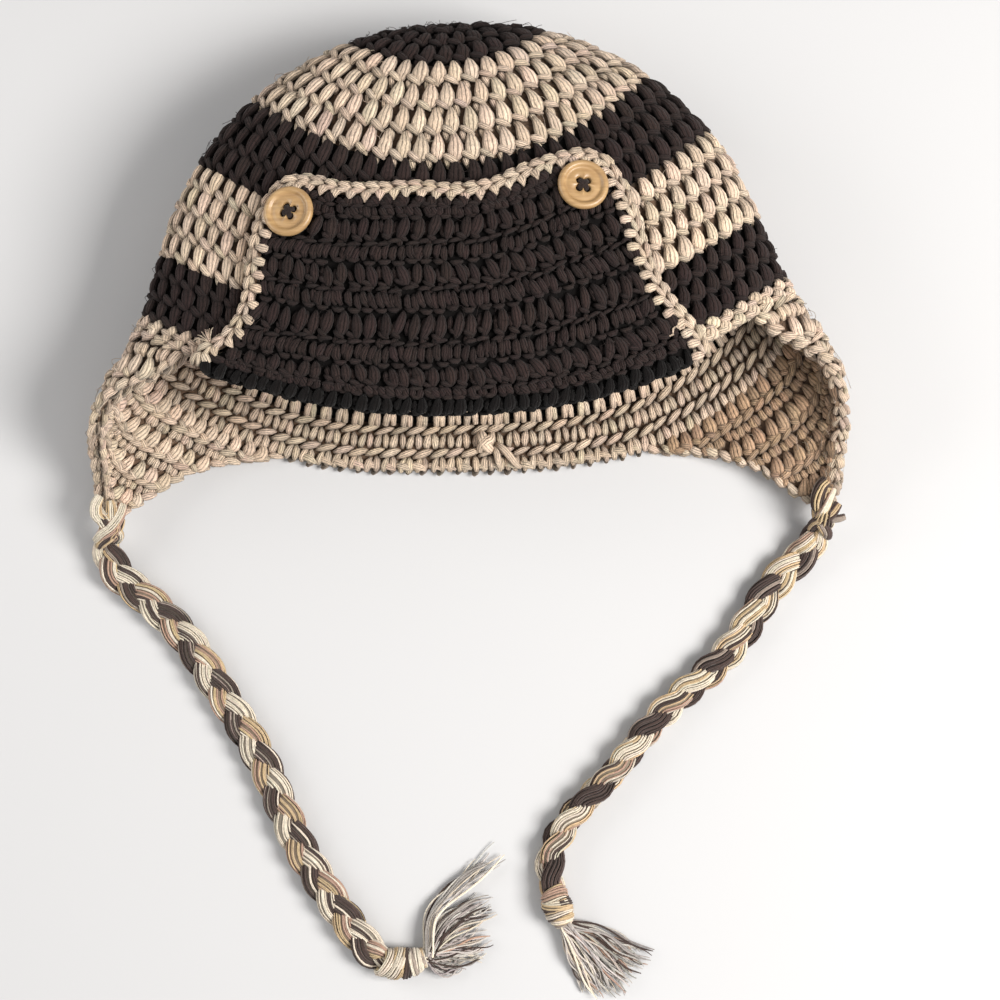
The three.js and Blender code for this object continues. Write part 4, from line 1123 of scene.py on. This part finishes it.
# Cuts the four holes out of a button with round cutters that widen at the top
def drill(piece, seats):
    for place, side, ahead, up in seats:
        cutterStore = newStore()
        narrow, wide = button["hole"], button["hole"] + 0.3
        profile = [(0, -2), (narrow, -2), (narrow, 1.95), (wide, 2.5), (wide, 6), (0, 6)]
        addTurned(cutterStore, profile, 32, place, side, ahead, up, np.zeros(3))
        points = np.concatenate(cutterStore["points"]) * mm
        faces = [face.tolist() for part in ("quads", "tris") for face in np.concatenate(cutterStore[part])]
        mesh = bpy.data.meshes.new("cutter")
        mesh.from_pydata(points.tolist(), [], faces)
        cutter = bpy.data.objects.new("cutter", mesh)
        bpy.context.scene.collection.objects.link(cutter)
        modifier = piece.modifiers.new("hole", "BOOLEAN")
        modifier.operation, modifier.object, modifier.solver = "DIFFERENCE", cutter, "EXACT"
        bpy.context.view_layer.update()
        graph = bpy.context.evaluated_depsgraph_get()
        cut = bpy.data.meshes.new_from_object(piece.evaluated_get(graph))
        piece.modifiers.clear()
        piece.data = cut
        bpy.data.objects.remove(cutter)


wood = woodMaterial()
threadYarn = yarnMaterial("sewing thread", 3, 0.06, 0.3, 0.1)
for row in buttons:
    up = outward(row["angle"], row["reach"])
    place = fabric(row["angle"], row["reach"], button["seat"])
    side = unit(np.array([1.0, 0, 0]) - up * up[0])
    ahead = np.cross(up, side)
    turn = np.radians(row["turn"])
    side, ahead = side * np.cos(turn) + ahead * np.sin(turn), ahead * np.cos(turn) - side * np.sin(turn)
    store = newStore()
    addTurned(store, button["profile"], 96, place, side, ahead, up, np.array(button["dye"]))
    piece = makePiece("turned_button_" + row["side"], store, wood, ["button_" + row["side"]])
    reach = button["spacing"]
    drill(piece, [(place + side * x * reach + ahead * y * reach, side, ahead, up)
                  for x, y in ((1, 0), (0, 1), (-1, 0), (0, -1))])
    store = newStore()
    for first, second in ((side, ahead), (ahead, side)):
        for shift in sewing["shifts"]:
            across, height = np.array(sewing["bow"]).T * ((reach,), (1,))
            height = height + (across == 0) * 0.25 * abs(shift)
            closing = shift * (1 - sewing["closing"] * (np.abs(across) > 0.75 * reach))
            spine = place + np.outer(across, first) + np.outer(closing, second) + np.outer(height, up)
            normals = unit(up + np.outer(across, first) * 0.3)
            radius = sewing["radius"]
            addTubes(store, spine[None], normals[None], radius, radius, 7, dyeFor("brown", 1) * sewing["shade"])
    makePiece("sewn_thread_" + row["side"], store, threadYarn, ["button_thread_" + row["side"]])

# Middle line of each braid as it lies on the surface, from its hitch to its knot
braidLines = {
    "left": [
        (-135.1, -93.8, 9.4), (-133.9, -103.6, 7), (-131.1, -108.3, 5.9), (-126.7, -112.7, 5.4),
        (-119.7, -118.3, 5.4), (-112.4, -124.9, 5.4), (-105.4, -132.7, 5.4), (-98.9, -141.9, 5.4),
        (-92.6, -151.9, 5.4), (-86.1, -161.8, 5.4), (-79.7, -172.3, 5.4), (-73.8, -183.9, 5.4),
        (-68.6, -196.1, 5.4), (-62.9, -208.4, 5.4), (-56.4, -219.6, 5.4), (-49.5, -229.8, 5.4),
        (-42.7, -239.3, 5.4), (-37.8, -245.4, 5.4), (-34.2, -248.7, 5.5), (-30.2, -251.1, 5.6),
    ],
    "right": [
        (132.5, -90, 9.2), (127.7, -99, 6.5), (123.3, -103.3, 5.6), (118.1, -108.4, 5.4),
        (112.7, -114.7, 5.4), (107.4, -123, 5.4), (101.6, -132.2, 5.4), (94.4, -140.7, 5.4),
        (85.6, -148.7, 5.4), (76.2, -156.8, 5.4), (67.4, -166, 5.4), (59.6, -175.5, 5.4),
        (52.3, -184.1, 5.4), (45, -191.6, 5.4), (38.3, -199, 5.4), (33, -206.8, 5.4),
        (30.6, -214.7, 5.4), (30.8, -221.7, 5.5), (32.2, -227.6, 5.6),
    ],
}
ties = {
    "left": {
        "period": 32, "phase": 0.4, "roll": 0.0,
        "knot": [(-27.3, -251.9), (-24.3, -252.1), (-21.1, -251.7), (-18.5, -250.9), (-16.5, -250.2)],
    },
    "right": {
        "period": 33, "phase": 1.3, "roll": 0.012,
        "knot": [(32.9, -230), (33.7, -232.3), (34.5, -234.4), (35.3, -236.3)],
    },
}
braid = {
    "diameter": 10.6,
    "lower": 1.0,  # the yarns lie this much lower than the round stand-in's middle
    "swing": 2.95,  # of a strand to either side
    "rise": 1.5,  # and up and down
    "strandWide": 3.15,
    "strandThick": 1.9,
    "yarn": 0.38,
    "yarns": 24,
    "step": 1.5,
    "flapTip": -12,
    "straight": 5,
}
# Shares of each dye among the yarns of a strand or a wrap
mixes = {
    "light": {"cream": 0.62, "gold": 0.22, "rose": 0.08, "brown": 0.08},
    "warm": {"cream": 0.3, "gold": 0.44, "rose": 0.12, "brown": 0.14},
    "rosy": {"rose": 0.34, "gold": 0.22, "cream": 0.36, "brown": 0.08},
    "dark": {"brown": 0.6, "smoke": 0.14, "cream": 0.1, "gold": 0.16},
    "pale": {"cream": 0.78, "smoke": 0.14, "gold": 0.08},
    "grey": {"smoke": 0.6, "brown": 0.25, "cream": 0.15},
}
strandMixes = {"left": ["light", "dark", "warm"], "right": ["dark", "light", "rosy"]}


# Seeded yarns of a mix, two of a dye side by side
def yarnNames(mix, count=14):
    shares = mixes[mix]
    return list(np.repeat(rng.choice(list(shares), count // 2, p=list(shares.values())), 2))


bundle = {"drift": 0.0175, "lump": 0.05, "lumpPace": 0.35, "uneven": 0.08, "core": 0.9, "corePaintedShade": 0.4}


# A bundle of parallel yarns round a path: they stand on an ellipse of the given half width and half
# thickness that turns slowly along it, with a core inside whose dye, the yarns' mean, is darkened as painted shade
# between them
def addBundle(store, path, normals, wide, thick, names, twist, yarn, start=0.0, spread=0.07):
    k, m = len(path), len(names)
    wide, thick = np.broadcast_to(wide, (k,)).astype(float), np.broadcast_to(thick, (k,)).astype(float)
    heading = unit(np.gradient(path, axis=0))
    side = unit(np.cross(normals, heading))
    up = np.cross(heading, side)
    run = lengthRun(path)
    drift = np.cumsum(rng.normal(0, bundle["drift"], (m, k)), axis=1)
    turn = (2 * np.pi * np.arange(m) / m)[:, None] + start + twist * run[None] + drift
    lift = 1 + bundle["lump"] * np.sin(run[None] * bundle["lumpPace"] + rng.uniform(0, 6.3, (m, 1)))
    centre = (path[None] + side[None] * (wide * np.cos(turn) * lift)[..., None]
              + up[None] * (thick * np.sin(turn) * lift)[..., None])
    normal = unit(side[None] * (np.cos(turn) / wide)[..., None] + up[None] * (np.sin(turn) / thick)[..., None])
    size = yarn * uneven(m, bundle["uneven"])
    dye = np.stack([dyeFor(name, 1, spread)[0] for name in names])
    addTubes(store, centre, normal, size, size * 0.9, 4, dye, run[-1] / 4)
    # Painted shade: the core's dye is the yarns' mean darkened
    coreDye = np.mean([dyes[name] for name in names], axis=0) * bundle["corePaintedShade"]
    wide, thick = wide * bundle["core"], thick * bundle["core"]
    addTubes(store, path[None], normals[None], wide, thick, 8, coreDye[None], run[-1] / 4)


# Outside of a flap's tip, or a height above it
def tipPoint(side, reach, height):
    angle = 180 - braid["flapTip"] if side == "left" else braid["flapTip"]
    normal = outward(angle, hat["flapReach"])
    return surface(np.array(angle), np.array(reach)) + normal * height


# The braid's line with a straight piece in line with its hitch at the beginning, as the part has it
def braidPoints(side):
    rows = np.array(braidLines[side], float)
    top = tipPoint(side, hat["flapReach"] + 10 * hat["gap"], -hat["wall"] / 2 - 1)
    heading = unit(rows[0] - top)
    points = np.concatenate([rows[:1], rows[:1] + heading * braid["straight"], rows[1:]])
    points[:, 2] -= braid["lower"]
    return points


# Frames along a path: heading, way to the side and way up
def framesAlong(path):
    heading = unit(np.gradient(path, axis=0))
    side = unit(np.cross(heading, skyward))
    return heading, side, np.cross(side, heading)


# A braid: three strands, a third of a period apart, that sway by a sine and rise by one of twice the
# frequency, tapered a little where they leave the hitch and enter the knot
def makeBraid(side):
    tie = ties[side]
    path, run = smoothPath(braidPoints(side), braid["step"])
    _, across, up = framesAlong(path)
    store = newStore()
    taper = 0.62 + 0.38 * easeIn(run / 9) * easeIn((run[-1] - run) / 6)
    for k in range(3):
        phase = 2 * np.pi * (run / tie["period"] + k / 3) + tie["phase"]
        roll = tie["roll"] * run
        sway, rise = braid["swing"] * np.sin(phase) * taper, braid["rise"] * np.sin(2 * phase)
        line = (path + across * (sway * np.cos(roll) - rise * np.sin(roll))[:, None]
                + up * (sway * np.sin(roll) + rise * np.cos(roll))[:, None])
        addBundle(store, line, up, braid["strandWide"] * taper, braid["strandThick"] * taper,
                  yarnNames(strandMixes[side][k], braid["yarns"]), 0.02, braid["yarn"], k)
    tie["path"], tie["length"] = path, run[-1]
    return makePiece("braid_strands_" + side, store, tieYarn, ["braid_" + side])


# Bundles of each hitch: rows of (right, along the tie, out of the flap) from the flap's tip
hitches = {
    "left": [
        {"mix": "pale", "wide": 1.9, "thick": 1.2,
         "line": [(-4.2, -7, 0.6), (-5.6, -4, 2.2), (-5, -0.6, 3), (-2, 1.2, 3.2), (0.6, -0.8, 2.6),
                  (0.4, -4, 1.4)]},
        {"mix": "warm", "wide": 2.3, "thick": 1.3,
         "line": [(-5, -2, 0.6), (-3.2, 0.6, 3), (0, 4, 4.4), (3.4, 7.6, 3), (3.6, 11, 0.4)]},
        {"mix": "rosy", "wide": 2.0, "thick": 1.2,
         "line": [(4.6, -4, 0.4), (3.2, -0.6, 3.2), (0.4, 3.4, 5.4), (-2.6, 7, 4.2), (-3.6, 10.6, 1.2)]},
        {"mix": "dark", "wide": 1.9, "thick": 1.2,
         "line": [(4.4, 1.5, 1), (3, 4.6, 3.4), (0, 8, 3.8), (-2, 11, 2.4), (-2.4, 13.5, 0.6)]},
    ],
    "right": [
        {"mix": "dark", "wide": 2.5, "thick": 2.0,
         "line": [(-3.6, -7.6, 0), (-4, -5.8, 3), (-3.8, -2.6, 4.6), (-3.2, 0.4, 4), (-2.4, 2.8, 2),
                  (-2, 4.6, 0)]},
        {"mix": "rosy", "wide": 1.3, "thick": 1.0,
         "line": [(0.2, -6, 1), (0.2, -3, 3.8), (0, 0.2, 4.8), (-0.8, 3.8, 4.6), (-2, 7, 3), (-2.6, 10, 1)]},
        {"mix": "dark", "wide": 2.0, "thick": 1.3,
         "line": [(3.4, -1, 0.6), (2.4, 2.4, 3.4), (-0.2, 5.8, 4.2), (-2.6, 9, 3), (-3.4, 12, 0.8)]},
        {"mix": "dark", "wide": 1.7, "thick": 1.1,
         "line": [(-4.2, 2.4, 0.6), (-2.4, 5.4, 3), (0.8, 8, 4), (3, 10.6, 2.6), (3.2, 13, 0.6)]},
        {"mix": "grey", "wide": 1.1, "thick": 0.7,
         "line": [(0.4, 4.4, 2), (2.6, 4.6, 3.2), (5.2, 3.8, 2.8), (7.4, 2.6, 1.4)]},
    ],
}
# The tie's own run through the hitch, as the part has it: reach or share, height and radius
hitchOver = [(240.5, -6.5, 1.6), (244.5, -7.5, 2.3), (249.5, -8.8, 2.3)]
hitchUnder = [(0.4, 3.2), (0.65, 4.6), (1, 4)]


# The hitch: the tie's own run with its bundles wound over it
def makeHitch(side):
    start = np.array(braidLines[side][0], float)
    over = [tipPoint(side, reach, height) for reach, height, _ in hitchOver]
    under = [over[-1] + (start - over[-1]) * share for share, _ in hitchUnder]
    radii = [row[-1] for row in hitchOver + hitchUnder]
    core, run = smoothPath(over + under, 1.1)
    size = np.interp(run, np.linspace(0, run[-1], len(radii)), radii) - braid["yarn"]
    _, _, up = framesAlong(core)
    store = newStore()
    names = yarnNames("warm" if side == "left" else "dark")
    addBundle(store, core, up, size, size * 0.8, names, 0.06, braid["yarn"])
    origin = tipPoint(side, hat["flapReach"] - 1, -hat["wall"] - 0.6)
    down = unit(start - origin)
    angle = 180 - braid["flapTip"] if side == "left" else braid["flapTip"]
    raised = -outward(angle, hat["flapReach"]) + np.array([0, 0, 0.6])
    raised = unit(raised - down * (raised * down).sum())
    right = np.cross(raised, down)
    for row in hitches[side]:
        line, run = smoothPath(row["line"], 1.0)
        path = origin + line[:, :1] * right + line[:, 1:2] * down + line[:, 2:] * raised
        fade = 0.55 + 0.45 * roundEnds(len(line), 0.06)
        normals = np.broadcast_to(raised, path.shape)
        addBundle(store, path, normals, row["wide"] * fade, row["thick"] * fade, yarnNames(row["mix"]), 0.05, 0.45)
    return makePiece("hitch_strands_" + side, store, tieYarn, ["tie_loop_" + side])


# Wraps of each knot: where along it, radius, half width, tilt and mix of yarns
knots = {
    "left": [
        {"at": -2.4, "radius": 3.9, "wide": 2.6, "tilt": 2.2, "mix": "light"},
        {"at": 1.0, "radius": 4.6, "wide": 2.4, "tilt": 1.6, "mix": "warm"},
        {"at": 4.4, "radius": 4.3, "wide": 1.9, "tilt": 0.5, "mix": "dark"},
        {"at": 6.8, "radius": 3.9, "wide": 1.5, "tilt": -0.4, "mix": "grey"},
        {"at": 8.9, "radius": 3.2, "wide": 1.5, "tilt": 0.5, "mix": "pale"},
        {"at": 11.2, "radius": 2.3, "wide": 1.5, "tilt": 0, "mix": "light"},
    ],
    "right": [
        {"at": -2.2, "radius": 3.9, "wide": 2.6, "tilt": -1.6, "mix": "rosy"},
        {"at": 0.6, "radius": 4.3, "wide": 2.2, "tilt": 0.8, "mix": "rosy"},
        {"at": 3.2, "radius": 4.1, "wide": 2.1, "tilt": -0.7, "mix": "dark"},
        {"at": 5.6, "radius": 3.2, "wide": 1.6, "tilt": 0.6, "mix": "dark"},
        {"at": 7.6, "radius": 2.3, "wide": 1.4, "tilt": 0, "mix": "pale"},
    ],
}
knotShape = {"height": 5.2, "thick": 1.25, "core": 3.2, "turns": 1.12, "steps": 30, "yarn": 0.42, "squash": 0.9}


# The knot: rings of yarn round its axis, each tilted by a sine round it, and a plain core
def makeKnot(side):
    points = np.array(ties[side]["knot"], float)
    line, run = smoothPath(np.column_stack([points, np.zeros(len(points))]), 0.5)
    heading = unit(np.gradient(line, axis=0))
    store = newStore()
    for row in knots[side]:
        past = row["at"] - np.clip(row["at"], 0, run[-1])
        axis = unit(columnsAt(row["at"], run, heading))
        centre = columnsAt(row["at"], run, line) + axis * past
        height = min(knotShape["height"], row["radius"] + knotShape["thick"] + 0.3)
        turn = np.linspace(0, 2 * np.pi * knotShape["turns"], knotShape["steps"]) + row["at"]
        level = np.cross(skyward, axis)
        radial = level * np.cos(turn)[:, None] + skyward * (np.sin(turn) * knotShape["squash"])[:, None]
        shift = axis * (row["tilt"] * np.sin(turn + 0.7))[:, None]
        path = centre + skyward * height + radial * row["radius"] + shift
        addBundle(store, path, unit(radial), row["wide"], knotShape["thick"], yarnNames(row["mix"]), 0.09,
                  knotShape["yarn"])
    core, radius = line + skyward * knotShape["height"], knotShape["core"]
    addTubes(store, core[None], np.broadcast_to(skyward, core.shape)[None], radius, radius, 10,
             np.array([dyes["smoke"]]))
    return makePiece("knot_strands_" + side, store, tieYarn, ["tie_knot_" + side])


# Locks of each tassel: where a lock bends and where it ends, as the part has them
locks = {
    "left": [
        (-12.7, -233.4, 8.1, -215), (-7.8, -235.9, 5.5, -229.6), (-5.8, -240.9, 7.3, -234.2),
        (-4.3, -246.9, 5.7, -243.2), (-5.3, -250.2, 4.9, -248.8), (-9.1, -253.8, -2.9, -252),
    ],
    "right": [
        (49.1, -240.8, 65.7, -249.8), (48.2, -243.6, 61.3, -253.6), (46.9, -246.7, 58.1, -258.4),
        (44.7, -249.2, 53.9, -262), (42.1, -250.4, 49.3, -263.6), (39.3, -249, 45.9, -260.4),
    ],
}
tassel = {
    "yarns": 18,  # to each lock
    "rows": 22,
    "height": [4.6, 3.7, 2.9, 2.2, 1.5],
    "neck": 2.1,
    "bend": 2.6,
    "tip": 3.4,
    "wave": 1.3,
    "lift": 0.62,  # share of its height that a yarn rises or sinks by
    "liftWave": 0.35,
    "uneven": 0.12,
    "radius": 0.34,
    "shares": {"mist": 0.4, "ash": 0.3, "cream": 0.1, "rose": 0.1, "brown": 0.1},
}


# The tassel: yarns along each lock's line, spread to its sides by a growing width and moved by sines
def makeTassel(side):
    points = np.array(ties[side]["knot"], float)
    heading = unit(points[-1] - points[-2])
    start = points[-1] + heading * 2
    store = newStore()
    n, rows = tassel["yarns"], tassel["rows"]
    share = np.linspace(0, 1, rows)
    for bendX, bendY, tipX, tipY in locks[side]:
        flat = np.array([[*start, 0], [bendX, bendY, 0], [tipX, tipY, 0]])
        line, run = smoothPath(flat, 0.5)
        reach = share[None] * (run[-1] * rng.uniform(0.8, 1.14, (n, 1)))
        along = unit(np.gradient(line, axis=0))
        past = np.maximum(reach - run[-1], 0)
        path = columnsAt(reach, run, line) + past[..., None] * along[-1]
        across = unit(np.cross(columnsAt(reach, run, along), skyward))
        spread = np.interp(share, [0, 0.35, 1], [tassel["neck"], tassel["bend"], tassel["tip"]])
        phase, pace = rng.uniform(0, 6.3, (n, 1)), rng.uniform(5, 11, (n, 1))
        offset = rng.uniform(-1, 1, (n, 1)) * spread + tassel["wave"] * share * np.sin(phase + pace * share)
        height = np.interp(share, np.linspace(0, 1, 5), tassel["height"])
        lift = rng.uniform(-1, 0.9, (n, 1)) * height * tassel["lift"]
        lift = lift + tassel["liftWave"] * share * np.sin(1.7 * phase + pace * share)
        path = path + across * offset[..., None]
        path[..., 2] = np.maximum(height + lift, tassel["radius"])
        names = rng.choice(list(tassel["shares"]), n, p=list(tassel["shares"].values()))
        dye = np.stack([dyeFor(name, 1, 0.1)[0] for name in names])
        size = tassel["radius"] * uneven(n, tassel["uneven"]) * np.interp(share, [0, 0.85, 1], [1, 1, 0.5])
        normals = np.broadcast_to(skyward, path.shape)
        addTubes(store, path, normals, size, size, 5, dye, 8)
    return makePiece("tassel_yarns_" + side, store, tieYarn, ["tassel_" + side])


for side in ("left", "right"):
    strands = makeBraid(side)
    makeHitch(side)
    onTie = [makeKnot(side), makeTassel(side)]
    path = ties[side]["path"]
    path = path[np.append(np.arange(0, len(path) - 1, len(path) // 38), len(path) - 1)]
    [tuple(map(float, point)) for point in path * mm]
print("ties done")

# Plain pale floor, a hair under the hat
ground = {"half": 3, "height": -0.0002, "tone": (0.585, 0.592, 0.605, 1)}
floorMaterial, _ = newMaterial("floor", {"Base Color": ground["tone"], "Roughness": 0.8})
floorMesh = bpy.data.meshes.new("floor")
half = ground["half"]
corners = [(x * half, y * half, ground["height"]) for x, y in ((-1, -1), (1, -1), (1, 1), (-1, 1))]
floorMesh.from_pydata(corners, [], [(0, 1, 2, 3)])
floorMesh.materials.append(floorMaterial)
floor = bpy.data.objects.new("floor", floorMesh)
bpy.context.scene.collection.objects.link(floor)
